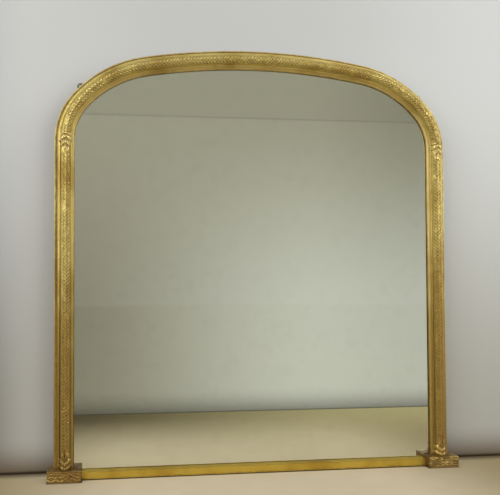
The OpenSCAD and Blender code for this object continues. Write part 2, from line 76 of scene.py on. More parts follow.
class Run(Enum):
    """Length of moulding between two joints of the frame."""

    STILE = "stile"
    SHOULDER = "shoulder"
    HAUNCH = "haunch"
    CROWN = "crown"


def srgb(red: int, green: int, blue: int) -> Colour:
    """Turns a colour as it is seen into the linear one that a shader takes.

    Args:
        red, green, blue: parts from 0 to 255.

    Returns:
        The linear colour, with full alpha.
    """
    parts = [c / 255 for c in (red, green, blue)]
    linear = [c / 12.92 if c <= 0.04045 else ((c + 0.055) / 1.055) ** 2.4 for c in parts]
    return (*linear, 1.0)


def grey(value: float) -> Colour:
    """Linear grey, with full alpha."""
    return (value, value, value, 1.0)


def arc(centre: Pair, r: float, a0: float, a1: float, n: int) -> Array:
    """Points (n, 2) round part of a circle, from angle a0 to a1 in degrees."""
    a = np.radians(np.linspace(a0, a1, n))
    return np.stack([centre[0] + r * np.cos(a), centre[1] + r * np.sin(a)], 1)


def line(start: Pair, end: Pair, n: int) -> Array:
    """Points (n, 2) along a straight line, both ends included."""
    return np.linspace(start, end, n)


def smooth(x: Array | float, low: float, high: float) -> Array:
    """Rises from 0 at low to 1 at high along the curve 3t^2 - 2t^3."""
    t = np.clip((np.asarray(x) - low) / (high - low), 0, 1)
    return t * t * (3 - 2 * t)


def bell(x: Array, middle: float, width: float) -> Array:
    """Peaks at 1 in the middle and falls off along exp(-t^2), with t in widths."""
    return np.exp(-(((x - middle) / width) ** 2))


@dataclass(frozen=True)
class Sway:
    """Gentle unevenness of hand work: a sum of crossed sine waves.

    Each wave is shorter and lower than the one before, by the same shares.
    """

    size: float
    seed: int
    waves: int = 6
    shorter: float = 1.45
    lower: float = 1.3
    whole: float = 3.0

    def at(self, x: Array, y: Array, side: Side | None = None) -> Array:
        """Unevenness at some places.

        Args:
            x, y: places on the surface, in mm.
            side: the half of the mirror, where the two halves differ.

        Returns:
            Values from about -1 to 1, with the shape of x and y together.
        """
        rng = np.random.default_rng(self.seed + (side.value if side else 0))
        total = 0.0
        for k in range(self.waves):
            turn, phase = rng.uniform(0, 2 * math.pi, 2)
            wave = 2 * math.pi * self.shorter**k / self.size
            way = x * math.cos(turn) + y * math.sin(turn)
            total = total + np.sin(wave * way + phase) / self.lower**k
        return total / self.whole


# ------------------------------------------------------------------------ surfaces


@dataclass
class Tube:
    """Closed surface: a ring of points, carried in rows from one end to the other."""

    points: Array
    sign: float = field(init=False)

    def __post_init__(self) -> None:
        """Works out which way round the rings run, from the enclosed volume."""
        p = self.points
        q = np.roll(p, -1, 1)
        a, b, c, d = p[:-1], q[:-1], q[1:], p[1:]
        volume = sum(np.einsum("ijk,ijk->", a, np.cross(*pair)) for pair in ((b, c), (c, d)))
        for row, way in ((0, -1.0), (-1, 1.0)):
            ring = p[row]
            hub = np.broadcast_to(ring.mean(0), ring.shape)
            volume += way * np.einsum("jk,jk->", hub, np.cross(ring, np.roll(ring, -1, 0)))
        self.sign = 1.0 if volume > 0 else -1.0

    def normals(self) -> Array:
        """Outward directions: the cross product of the steps round and along.

        Returns:
            (rows, cols, 3) vectors of length 1.
        """
        p = self.points
        round_step = np.roll(p, -1, 1) - np.roll(p, 1, 1)
        n = np.cross(round_step, np.gradient(p, axis=0)) * self.sign
        return n / np.maximum(np.linalg.norm(n, axis=2, keepdims=True), 1e-9)

    def hollow(self, reach: int, depth: float) -> Array:
        """How sunk each point lies: the mean of its neighbours, less itself, along the normal.

        Args:
            reach: how many steps away the furthest neighbour is.
            depth: the difference in mm that counts as fully sunk or fully proud.

        Returns:
            A (rows, cols) array, from 0 on high points over 0.5 to 1 in hollows.
        """
        p = self.points
        row = np.arange(len(p))
        total = np.zeros_like(p)
        for k in range(1, reach + 1):
            up = p[np.minimum(row + k, len(p) - 1)]
            down = p[np.maximum(row - k, 0)]
            total += up + down + np.roll(p, k, 1) + np.roll(p, -k, 1)
        lift = np.einsum("ijk,ijk->ij", total / (4 * reach) - p, self.normals())
        return np.clip(0.5 + 0.5 * lift / depth, 0, 1)

    def faces(self, start: int) -> tuple[Array, list[Array]]:
        """Corners of the faces, all turned outward.

        Args:
            start: number of the first point.

        Returns:
            (m, 4) corners of the sides, and the two rings that cap the ends.
        """
        rows, cols = self.points.shape[:2]
        index = start + np.arange(rows * cols).reshape(rows, cols)
        nxt = np.roll(index, -1, 1)
        quads = np.stack([index[:-1], nxt[:-1], nxt[1:], index[1:]], 2).reshape(-1, 4)
        caps = [index[0][::-1], index[-1]]
        if self.sign < 0:
            return quads[:, ::-1], [cap[::-1] for cap in caps]
        return quads, caps

    def mesh(self, name: str, sharp: float, hollow: Array) -> Piece:
        """Makes the object of this tube alone, as make_mesh does."""
        return make_mesh(name, [self], sharp, [np.clip(hollow, 0, 1)])


def make_mesh(name: str, tubes: list[Tube], sharp: float, hollows: list[Array]) -> Piece:
    """Puts whole arrays of points and faces into a new object at the origin.

    Args:
        name: name of the object.
        tubes: the closed surfaces that it is made of.
        sharp: angle between faces from which an edge stays sharp, in degrees.
        hollows: the values of the attribute "hollow", for each tube.

    Returns:
        The new object, linked to the scene.
    """
    points = np.concatenate([tube.points.reshape(-1, 3) for tube in tubes])
    firsts = np.cumsum([0, *(tube.points[..., 0].size for tube in tubes)])
    faces = [tube.faces(first) for tube, first in zip(tubes, firsts)]
    quads = np.concatenate([sides for sides, _ in faces])
    caps = [cap for _, ends in faces for cap in ends]
    loops = np.concatenate([quads.ravel(), *caps]).astype(np.int32)
    sizes = np.concatenate([np.full(len(quads), 4), [len(cap) for cap in caps]]).astype(np.int32)
    starts = np.concatenate([[0], np.cumsum(sizes)[:-1]]).astype(np.int32)

    me = bpy.data.meshes.new(name)
    me.vertices.add(len(points))
    me.vertices.foreach_set("co", (points * MM).astype(np.float32).ravel())
    me.loops.add(len(loops))
    me.loops.foreach_set("vertex_index", loops)
    me.polygons.add(len(sizes))
    me.polygons.foreach_set("loop_start", starts)
    me.update(calc_edges=True)
    me.validate()
    me.shade_smooth()
    me.set_sharp_from_angle(angle=math.radians(sharp))
    values = np.concatenate([hollow.ravel() for hollow in hollows])
    layer = me.attributes.new("hollow", "FLOAT", "POINT")
    layer.data.foreach_set("value", values.astype(np.float32))
    piece = bpy.data.objects.new(name, me)
    bpy.context.scene.collection.objects.link(piece)
    return piece


def mirrored(points: Array, side: Side) -> Array:
    """Turns a right-hand piece into the one for that side, by the sign of x."""
    return points * np.array([side.value, 1.0, 1.0])


def install(piece: Piece, node: str, material: Material) -> None:
    """Dresses a piece, and puts it in the place of its CAD node.

    Args:
        piece: the new object.
        node: the CAD node that it stands for.
        material: its finish.
    """
    piece.data.materials.append(material)
    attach(piece, BODY)
    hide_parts(node)
    LOG.info("%s: %d faces", piece.name, len(piece.data.polygons))


# ------------------------------------------------------------------------ the plan


@dataclass(frozen=True)
class Arch:
    """Line of the sight edge: two stiles and a five-centred arch."""

    half_w: float = 660.0
    spring_z: float = 1190.0
    foot_h: float = 39.0
    shoulder_r: float = 185.0
    haunch_r: float = 375.0
    shoulder_turn: float = 42.0
    haunch_turn: float = 80.0
    torus_u: float = 29.7
    wall_y: float = 38.5

    @property
    def shoulder_c(self) -> Array:
        """Centre of the shoulder arc."""
        return np.array([self.half_w - self.shoulder_r, self.spring_z])

    @property
    def haunch_c(self) -> Array:
        """Centre of the haunch arc, on the line through the end of the shoulder.

        Returns:
            Its x and z.
        """
        a = math.radians(self.shoulder_turn)
        way = np.array([math.cos(a), math.sin(a)])
        return self.shoulder_c - (self.haunch_r - self.shoulder_r) * way

    @property
    def crown_r(self) -> float:
        """Radius of the crown arc, which closes the curve on the middle line."""
        return self.haunch_r + self.haunch_c[0] / math.cos(math.radians(self.haunch_turn))

    @property
    def crown_c(self) -> Array:
        """Centre of the crown arc."""
        drop = (self.crown_r - self.haunch_r) * math.sin(math.radians(self.haunch_turn))
        return np.array([0.0, self.haunch_c[1] - drop])

    def rows(self, run: Run, step: float) -> tuple[Array, Array, Array]:
        """Places along one run of the sight edge.

        Args:
            run: which run.
            step: distance between rows, in mm, along the middle of the torus.

        Returns:
            (n, 2) points [x, z], (n, 2) outward directions, and (n,) lengths from
            the spring line along the middle of the torus, the same on both sides.
        """
        if run is Run.STILE:
            n = round((self.spring_z - self.foot_h) / step) + 1
            z = np.linspace(self.foot_h, self.spring_z, n)
            base = np.stack([np.full(n, self.half_w), z], 1)
            return base, np.tile([1.0, 0.0], (n, 1)), z - self.spring_z
        legs = {Run.SHOULDER: (self.shoulder_c, self.shoulder_r, 0.0, self.shoulder_turn),
                Run.HAUNCH: (self.haunch_c, self.haunch_r, self.shoulder_turn, self.haunch_turn),
                Run.CROWN: (self.crown_c, self.crown_r, self.haunch_turn, 180 - self.haunch_turn)}
        start = 0.0
        for leg, (c, r, a0, a1) in legs.items():
            reach = r + self.torus_u
            if leg is run:
                break
            start += reach * math.radians(a1 - a0)
        n = round(reach * math.radians(a1 - a0) / step) + 1
        a = np.radians(np.linspace(a0, a1, n))
        out = np.stack([np.cos(a), np.sin(a)], 1)
        turned = np.minimum(a, np.pi - a) - math.radians(a0)
        return c + r * out, out, start + reach * turned

    def place(self, base: Array, out: Array, section: Array) -> Array:
        """Carries sections along a run: base + u * out, and y = wall_y - d.

        Args:
            base, out: (n, 2) arrays from rows().
            section: (n, m, 2) values of u and d.

        Returns:
            (n, m, 3) points.
        """
        u, d = section[..., 0], section[..., 1]
        x, z = (base[:, None, k] + u * out[:, None, k] for k in (0, 1))
        return np.stack([x, self.wall_y - d, z], 2)

    def face(self, u: Array, v: Array, d: Array) -> Array:
        """Points on the right stile and shoulder, v up from the spring line.

        Args:
            u, v, d: arrays of one shape; v runs along the middle of the torus.

        Returns:
            Points with a last axis of 3.
        """
        a = np.maximum(v, 0) / (self.shoulder_r + self.torus_u)
        r = self.shoulder_r + u
        x = np.where(v <= 0, self.half_w + u, self.shoulder_c[0] + r * np.cos(a))
        z = np.where(v <= 0, self.spring_z + v, self.shoulder_c[1] + r * np.sin(a))
        return np.stack([x, self.wall_y - d, z], -1)


# ------------------------------------------------------------------------ finishes


class Sheet:
    """Adds nodes to one tree, and sets or links their sockets in the same breath."""

    def __init__(self, tree: Tree) -> None:
        """Keeps the tree."""
        self.tree = tree

    def feed(self, node: Node, inputs: dict) -> None:
        """Links or sets inputs of a node.

        Args:
            node: the node.
            inputs: socket name or number, with a socket to link or a value to set.
        """
        for key, value in inputs.items():
            if isinstance(value, Socket):
                self.tree.links.new(value, node.inputs[key])
            else:
                node.inputs[key].default_value = value

    def add(self, kind: str, inputs: dict | None = None, **settings: object) -> Node:
        """Adds one node.

        Args:
            kind: its type, without the leading "ShaderNode".
            inputs: what feed() takes.
            settings: plain attributes of the node.

        Returns:
            The node.
        """
        node = self.tree.nodes.new("ShaderNode" + kind)
        for key, value in settings.items():
            setattr(node, key, value)
        self.feed(node, inputs or {})
        return node

    def math(self, operation: str, a: object, b: object = 0.0) -> Socket:
        """Result of a Math node."""
        return self.add("Math", {0: a, 1: b}, operation=operation).outputs[0]

    def times(self, a: object, b: object) -> Socket:
        """Product of two values."""
        return self.math("MULTIPLY", a, b)

    def less(self, a: object, b: object) -> Socket:
        """First value less the second."""
        return self.math("SUBTRACT", a, b)

    def size(self, a: object) -> Socket:
        """Value without its sign."""
        return self.math("ABSOLUTE", a)

    def most(self, first: object, *others: object) -> Socket:
        """Greatest of some values."""
        for other in others:
            first = self.math("MAXIMUM", first, other)
        return first

    def total(self, first: object, *others: object) -> Socket:
        """Sum of some values."""
        for other in others:
            first = self.math("ADD", first, other)
        return first

    def weigh(self, *pairs: tuple[Socket, float]) -> Socket:
        """Sum of some values, each times its weight."""
        return self.total(*(self.times(value, weight) for value, weight in pairs))

    def ramp(self, value: object, low: float, high: float, start: float = 0.0,
             end: float = 1.0) -> Socket:
        """Value carried smoothly from low..high to start..end."""
        return self.add("MapRange", {0: value, 1: low, 2: high, 3: start, 4: end},
                        interpolation_type="SMOOTHSTEP").outputs[0]

    def mix(self, share: object, a: object, b: object) -> Socket:
        """Colour between a and b."""
        return self.add("Mix", {0: share, 6: a, 7: b}, data_type="RGBA").outputs[2]

    def noise(self, vector: object, scale: float, detail: float,
              distortion: float = 0.0) -> Socket:
        """Value of a Noise Texture, about 0.5 in the mean."""
        return self.add("TexNoise", {"Vector": vector, "Scale": scale, "Detail": detail,
                                     "Distortion": distortion}).outputs[0]

    def bump(self, height: Socket, strength: float, distance: float) -> Socket:
        """Normal bent by a height."""
        return self.add("Bump", {"Height": height, "Strength": strength,
                                 "Distance": distance}).outputs[0]

    def place(self) -> Socket:
        """Object coordinates."""
        return self.add("TexCoord").outputs["Object"]

    def parts(self, vector: Socket) -> list[Socket]:
        """The x, y and z of a vector."""
        return list(self.add("SeparateXYZ", {0: vector}).outputs)


def new_group(name: str, inputs: dict[str, object], outputs: dict[str, str]) -> tuple:
    """Starts a shader node group.

    Args:
        name: its name.
        inputs: socket names with a default value, a float or a colour.
        outputs: socket names with "Color" or "Float".

    Returns:
        The tree, its Sheet, the sockets of its input node and its output node.
    """
    tree = bpy.data.node_groups.new(name, "ShaderNodeTree")
    for key, value in inputs.items():
        kind = "NodeSocketFloat" if isinstance(value, (int, float)) else "NodeSocketColor"
        tree.interface.new_socket(key, in_out="INPUT", socket_type=kind).default_value = value
    for key, kind in outputs.items():
        tree.interface.new_socket(key, in_out="OUTPUT", socket_type="NodeSocket" + kind)
    given = tree.nodes.new("NodeGroupInput").outputs
    return tree, Sheet(tree), given, tree.nodes.new("NodeGroupOutput")


def new_material(name: str) -> tuple[Material, Sheet, Node]:
    """Starts a material.

    Args:
        name: its name.

    Returns:
        The material, its Sheet and its Principled BSDF.
    """
    material = bpy.data.materials.new(name)
    material.use_nodes = True
    return material, Sheet(material.node_tree), material.node_tree.nodes["Principled BSDF"]


@dataclass(frozen=True)
class AgedGilding:
    """Aged gold leaf: toned leaf, bole where it is rubbed, dirt in the hollows.

    Rubbing is proudness plus noise, and dirt is sunkness plus noise. Towards the bottom
    the toning, rubbing and dirt grow and a dusky tone comes in: painted shade, with some
    wear. A noise is its scale, detail and distortion, and a span is the two ends of a ramp.
    """

    leaf: Colour = srgb(232, 208, 126)
    tone: Colour = srgb(188, 154, 76)
    bole: Colour = srgb(140, 90, 46)
    dirt: Colour = srgb(112, 80, 28)
    # Dusky tone of the painted shade towards the bottom
    dusk: Colour = srgb(142, 116, 50)
    cloud: tuple = (7.0, 4.0)
    patch: tuple = (62.0, 4.0, 0.6)
    speck: tuple = (420.0, 2.0)
    uneven_patch: float = 0.9
    uneven_speck: float = 0.5
    # Painted shade towards the bottom, with some wear: its heights, and how much it adds to the
    # toning and to the rubbing and dirt
    low_z: Pair = (1.05, 0.0)
    low_shade_toned: float = 0.35
    low_shade_aged: float = 0.12
    toned: Pair = (0.42, 0.68)
    rubbed: Pair = (0.52, 0.80)
    dirty: Pair = (0.86, 1.22)
    dirt_noise: float = 0.45
    bole_share: float = 0.7
    low_shade_share: float = 0.5
    dirt_share: float = 0.85
    crest: tuple = (0.42, 0.12, 0.0, -0.14)
    speck_rough: tuple = (0.3, 0.7, 0.30, 0.44)
    rub_rough: float = 0.22
    dirt_rough: float = 0.30
    rub_dull: float = 0.6
    dirt_dull: float = 0.5
    bump_speck: float = 0.35
    bump_patch: float = 0.65

    def build(self) -> Tree:
        """Makes the node group.

        Returns:
            The group, which gives a colour, a roughness, a metallic and a height.
        """
        tree, s, given, result = new_group(
            "aged_gilding",
            {"Leaf": self.leaf, "Toned": self.tone, "Bole": self.bole, "Dirt": self.dirt,
             "Dusk": self.dusk, "Rough": 0.0, "Wear": 0.0, "Grime": 0.0, "Low shade and wear": 0.0},
            {"Color": "Color", "Roughness": "Float", "Metallic": "Float", "Height": "Float"})
        spot = s.place()
        hollow = s.add("Attribute", attribute_name="hollow").outputs["Fac"]
        cloud, patch, speck = (s.noise(spot, *n) for n in (self.cloud, self.patch, self.speck))
        # Painted shade towards the bottom, with some wear: more toning, rubbing and dirt, and a
        # dusky tone
        low = s.times(s.ramp(s.parts(spot)[2], *self.low_z), given["Low shade and wear"])
        aged = s.times(low, self.low_shade_aged)

        tone = s.ramp(s.total(cloud, s.times(low, self.low_shade_toned)), *self.toned)
        leaf = s.mix(tone, given["Leaf"], given["Toned"])
        uneven = s.weigh((patch, self.uneven_patch), (speck, self.uneven_speck))
        rub = s.ramp(s.total(s.less(uneven, hollow), given["Wear"], aged), *self.rubbed)
        sunk = s.total(hollow, s.times(uneven, self.dirt_noise))
        grime = s.ramp(s.total(sunk, given["Grime"], aged), *self.dirty)
        worn = s.mix(s.times(rub, self.bole_share), leaf, given["Bole"])
        worn = s.mix(s.times(low, self.low_shade_share), worn, given["Dusk"])

        age_rough = s.weigh((rub, self.rub_rough), (grime, self.dirt_rough))
        dull = s.weigh((rub, self.rub_dull), (grime, self.dirt_dull))
        s.feed(result, {
            "Color": s.mix(s.times(grime, self.dirt_share), worn, given["Dirt"]),
            "Roughness": s.total(s.ramp(speck, *self.speck_rough), s.ramp(hollow, *self.crest),
                                 age_rough, given["Rough"]),
            "Metallic": s.most(s.less(1.0, dull), 0.0),
            "Height": s.weigh((speck, self.bump_speck), (patch, self.bump_patch))})
        return tree


@dataclass(frozen=True)
class OldPine:
    """Old pine: long streaks of early and late wood, fibres, and dirt.

    The grain runs along the Y of the vector that the group is given.
    """

    pale: Colour = srgb(176, 136, 90)
    dark: Colour = srgb(120, 80, 46)
    stain: Colour = srgb(70, 50, 34)
    ring_stretch: float = 0.06
    ring_scale: float = 13.0
    ring_distortion: float = 14.0
    ring_detail: tuple = (4.0, 1.6)
    ring_dark: tuple = (0.30, 1.0, 0.0, 0.5)
    fibre_stretch: float = 0.03
    fibre: tuple = (520.0, 3.0)
    fibre_dark: Pair = (0.45, 0.75)
    fibre_share: float = 0.45
    fibre_rough: tuple = (0.3, 0.7, 0.62, 0.82)
    blotch: tuple = (6.0, 4.0)
    grime: tuple = (34.0, 5.0, 0.4)
    stained: Pair = (0.52, 0.90)
    stain_share: float = 0.65
    age_share: float = 0.3
    ring_bump: float = 0.06
    fibre_bump: float = 0.5

    def build(self) -> Tree:
        """Makes the node group.

        Returns:
            The group, which gives a colour, a roughness and a height.
        """
        tree, s, given, result = new_group(
            "old_pine",
            {"Vector": grey(0.0), "Pale": self.pale, "Dark": self.dark, "Stain": self.stain,
             "Age": 0.5},
            {"Color": "Color", "Roughness": "Float", "Height": "Float"})
        spot = given["Vector"]
        rings_at, fibres_at = (
            s.add("Mapping", {"Vector": spot, "Scale": (1.0, stretch, 1.0)}).outputs[0]
            for stretch in (self.ring_stretch, self.fibre_stretch))
        rings = s.add("TexWave", {
            "Vector": rings_at, "Scale": self.ring_scale, "Distortion": self.ring_distortion,
            "Detail": self.ring_detail[0], "Detail Scale": self.ring_detail[1],
        }, wave_type="BANDS").outputs[1]
        fibre = s.noise(fibres_at, *self.fibre)
        wood = s.mix(s.ramp(rings, *self.ring_dark), given["Pale"], given["Dark"])
        streaks = s.times(s.ramp(fibre, *self.fibre_dark), self.fibre_share)
        wood = s.mix(streaks, wood, given["Dark"])
        dirt = s.total(s.noise(spot, *self.blotch), s.noise(spot, *self.grime))
        age = s.weigh((dirt, 0.5), (given["Age"], self.age_share))
        stain = s.times(s.ramp(age, *self.stained), self.stain_share)
        s.feed(result, {"Color": s.mix(stain, wood, given["Stain"]),
                        "Roughness": s.ramp(fibre, *self.fibre_rough),
                        "Height": s.weigh((rings, self.ring_bump), (fibre, self.fibre_bump))})
        return tree


@dataclass(frozen=True)
class Gilding:
    """Finish of one kind of gilt piece."""

    name: str
    leaf: Colour
    toned: Colour
    wear: float = 0.0
    grime: float = 0.0
    # Share of the painted shade, with some wear, that comes in towards the bottom
    low_shade_and_wear: float = 1.0
    bump: float = 0.25
    bump_depth: float = 0.0008
    rough: float = 0.0
    coat: float = 0.12
    coat_rough: float = 0.35

    def build(self, group: Tree) -> Material:
        """Makes the material from the shared gilding group.

        Args:
            group: what AgedGilding makes.

        Returns:
            The material.
        """
        material, s, shader = new_material(self.name)
        gilt = s.add("Group", {"Leaf": self.leaf, "Toned": self.toned, "Wear": self.wear,
                               "Grime": self.grime, "Low shade and wear": self.low_shade_and_wear,
                               "Rough": self.rough}, node_tree=group)
        s.feed(shader, {"Base Color": gilt.outputs["Color"],
                        "Roughness": gilt.outputs["Roughness"],
                        "Metallic": gilt.outputs["Metallic"],
                        "Normal": s.bump(gilt.outputs["Height"], self.bump, self.bump_depth),
                        "Coat Weight": self.coat, "Coat Roughness": self.coat_rough})
        return material


@dataclass(frozen=True)
class Pine:
    """Finish of bare pine, with the direction of its grain."""

    name: str
    spin: float = 0.0
    shift: float = 0.0
    shift_up: float = 0.37
    pale: Colour = srgb(170, 132, 88)
    dark: Colour = srgb(122, 84, 50)
    age: float = 0.5
    bump: float = 0.3
    bump_depth: float = 0.001

    def build(self, group: Tree) -> Material:
        """Makes the material. The spin turns upright grain about Y, in degrees.

        Args:
            group: what OldPine makes.

        Returns:
            The material.
        """
        material, s, shader = new_material(self.name)
        turned = s.add("Mapping", {"Vector": s.place(),
                                   "Location": (self.shift, 0, self.shift_up * self.shift),
                                   "Rotation": (0, math.radians(self.spin), 0)})
        upright = s.add("Mapping", {"Vector": turned.outputs[0],
                                    "Rotation": (math.radians(-90), 0, 0)})
        wood = s.add("Group", {"Vector": upright.outputs[0], "Pale": self.pale,
                               "Dark": self.dark, "Age": self.age}, node_tree=group)
        s.feed(shader, {"Base Color": wood.outputs["Color"],
                        "Roughness": wood.outputs["Roughness"],
                        "Normal": s.bump(wood.outputs["Height"], self.bump, self.bump_depth)})
        return material


@dataclass(frozen=True)
class DarkMetal:
    """Finish of the iron plates and the fasteners: dull metal under patches of rust."""

    name: str
    base: Colour
    rust: Colour
    rusty: float
    patch: tuple = (120.0, 5.0, 0.5)
    fine: tuple = (900.0, 2.0)
    rusted: Pair = (0.55, 0.75)
    metal: float = 0.85
    rust_dull: float = 0.7
    rough: float = 0.42
    rust_rough: float = 0.4
    bump: float = 0.3
    bump_depth: float = 0.0005

    def build(self) -> Material:
        """Makes the material.

        Returns:
            The material, whose rust is rougher and less metallic than its base.
        """
        material, s, shader = new_material(self.name)
        spot = s.place()
        patch, fine = s.noise(spot, *self.patch), s.noise(spot, *self.fine)
        rust = s.ramp(s.total(patch, self.rusty), *self.rusted)
        s.feed(shader, {"Base Color": s.mix(rust, self.base, self.rust),
                        "Metallic": s.less(self.metal, s.times(rust, self.rust_dull)),
                        "Roughness": s.total(self.rough, s.times(rust, self.rust_rough)),
                        "Normal": s.bump(s.total(patch, fine), self.bump, self.bump_depth)})
        return material


@dataclass(frozen=True)
class Plate:
    """Finishes of the glass and of the silvering behind it."""

    tint: Colour = (0.955, 0.97, 0.94, 1.0)
    silver: Colour = (0.86, 0.87, 0.80, 1.0)
    decay: Colour = srgb(96, 84, 62)
    haze: tuple = (900.0, 1.0)
    haze_rough: tuple = (0.2, 0.9, 0.0, 0.004)
    specks: tuple = (260.0, 4.0)
    speck_span: Pair = (0.70, 0.78)
    speck_share: float = 0.3
    clouds: tuple = (24.0, 5.0)
    cloud_span: Pair = (0.45, 0.75)
    cloud_share: float = 0.03
    decay_rough: float = 0.35

    def glass(self) -> Material:
        """Makes clear polished plate, a little green, with a faint unevenness.

        Returns:
            The material.
        """
        material, s, shader = new_material("plate_glass")
        haze = s.ramp(s.noise(s.place(), *self.haze), *self.haze_rough)
        s.feed(shader, {"Base Color": self.tint, "Metallic": 0.0, "Transmission Weight": 1.0,
                        "IOR": 1.5, "Roughness": haze})
        return material

    def silvering(self) -> Material:
        """Makes a bright metal film, dulled by fine specks.

        Returns:
            The material.
        """
        material, s, shader = new_material("old_silvering")
        spot = s.place()
        dull = s.weigh((s.ramp(s.noise(spot, *self.specks), *self.speck_span), self.speck_share),
                       (s.ramp(s.noise(spot, *self.clouds), *self.cloud_span), self.cloud_share))
        s.feed(shader, {"Base Color": s.mix(dull, self.silver, self.decay), "Metallic": 1.0,
                        "Roughness": s.ramp(dull, 0.0, 1.0, 0.0, self.decay_rough)})
        return material


# ------------------------------------------------------------------------ gilt frame


@dataclass(frozen=True)
class Foliage:
    """Low gesso ornament that climbs the torus: leaf over leaf, with sprays beside."""

    pitch: float = 12.4
    leaf_h: float = 1.8
    berry_h: float = 1.7
    berry_r: float = 1.35
    # Each leaf: start and end as (along, across), its half width, and its share of
    # the height; all but the first are repeated on the other side, half a pitch on
    leaves: tuple = (((-2.0, 0.0), (11.0, 0.0), 3.0, 0.8), ((0.6, 2.0), (7.8, 8.0), 2.1, 1.0),
                     ((4.8, 7.4), (10.6, 13.4), 2.0, 0.9), ((8.4, 12.4), (13.6, 19.6), 1.8, 0.85),
                     ((0.6, 11.4), (4.4, 20.6), 1.5, 0.8))
    berries: tuple = ((1.0, 5.9), (10.4, 9.4), (6.2, 14.4))
    root_h: float = 0.62
    rib_h: float = 0.28
    rib_w: float = 0.8
    vein_h: float = 0.16
    vein_wave: float = 2.3
    vein_slant: float = 2.2

    def leaf(self, s: Array, w: Array, start: Pair, end: Pair, half_w: float) -> Array:
        """Height of one leaf, as a share: a crown across it, a midrib and side veins.

        Args:
            s, w: place along and across the torus, in mm.
            start, end: the two ends of its midrib.
            half_w: greatest half width, in mm.

        Returns:
            Share of the full height, nothing outside the leaf.
        """
        way = np.subtract(end, start)
        length = float(np.hypot(*way))
        along = ((s - start[0]) * way[0] + (w - start[1]) * way[1]) / length**2
        across = np.abs((w - start[1]) * way[0] - (s - start[0]) * way[1]) / length
        inside = np.clip(along, 0.001, 0.999)
        half = half_w * np.sin(np.pi * inside**0.75) ** 0.65
        b = across / np.maximum(half, 0.1)
        body = np.sqrt(np.clip(1 - b * b, 0, 1)) * ((along > 0) & (along < 1))
        veins = self.vein_h * np.cos(length * along * self.vein_wave - self.vein_slant * b)
        rib = self.rib_h * bell(across, 0, self.rib_w) - veins
        return np.clip(body * (self.root_h + (1 - self.root_h) * inside + rib), 0, 1.3)

    def relief(self, s: Array, w: Array) -> Array:
        """Height of the ornament: the highest of its leaves and berries.

        Args:
            s: length along the torus, in mm.
            w: place across it, in mm from its middle.

        Returns:
            Height in mm.
        """
        half = self.pitch / 2
        height = np.zeros(np.broadcast_shapes(s.shape, w.shape))
        for side in (1, -1):
            x = np.mod(s - (side < 0) * half, self.pitch)
            y = w * side
            for k, (start, end, half_w, share) in enumerate(self.leaves):
                place = np.mod(s, self.pitch) if k == 0 else x
                for wrap in (-self.pitch, 0.0, self.pitch):
                    rise = self.leaf(place + wrap, y, start, end, half_w)
                    height = np.maximum(height, self.leaf_h * share * rise)
            for along, across in self.berries:
                off = np.mod(x - along + half, self.pitch) - half
                r2 = (off**2 + (y - across) ** 2) / self.berry_r**2
                height = np.maximum(height, self.berry_h * np.sqrt(np.clip(1 - r2, 0, 1)))
        return height


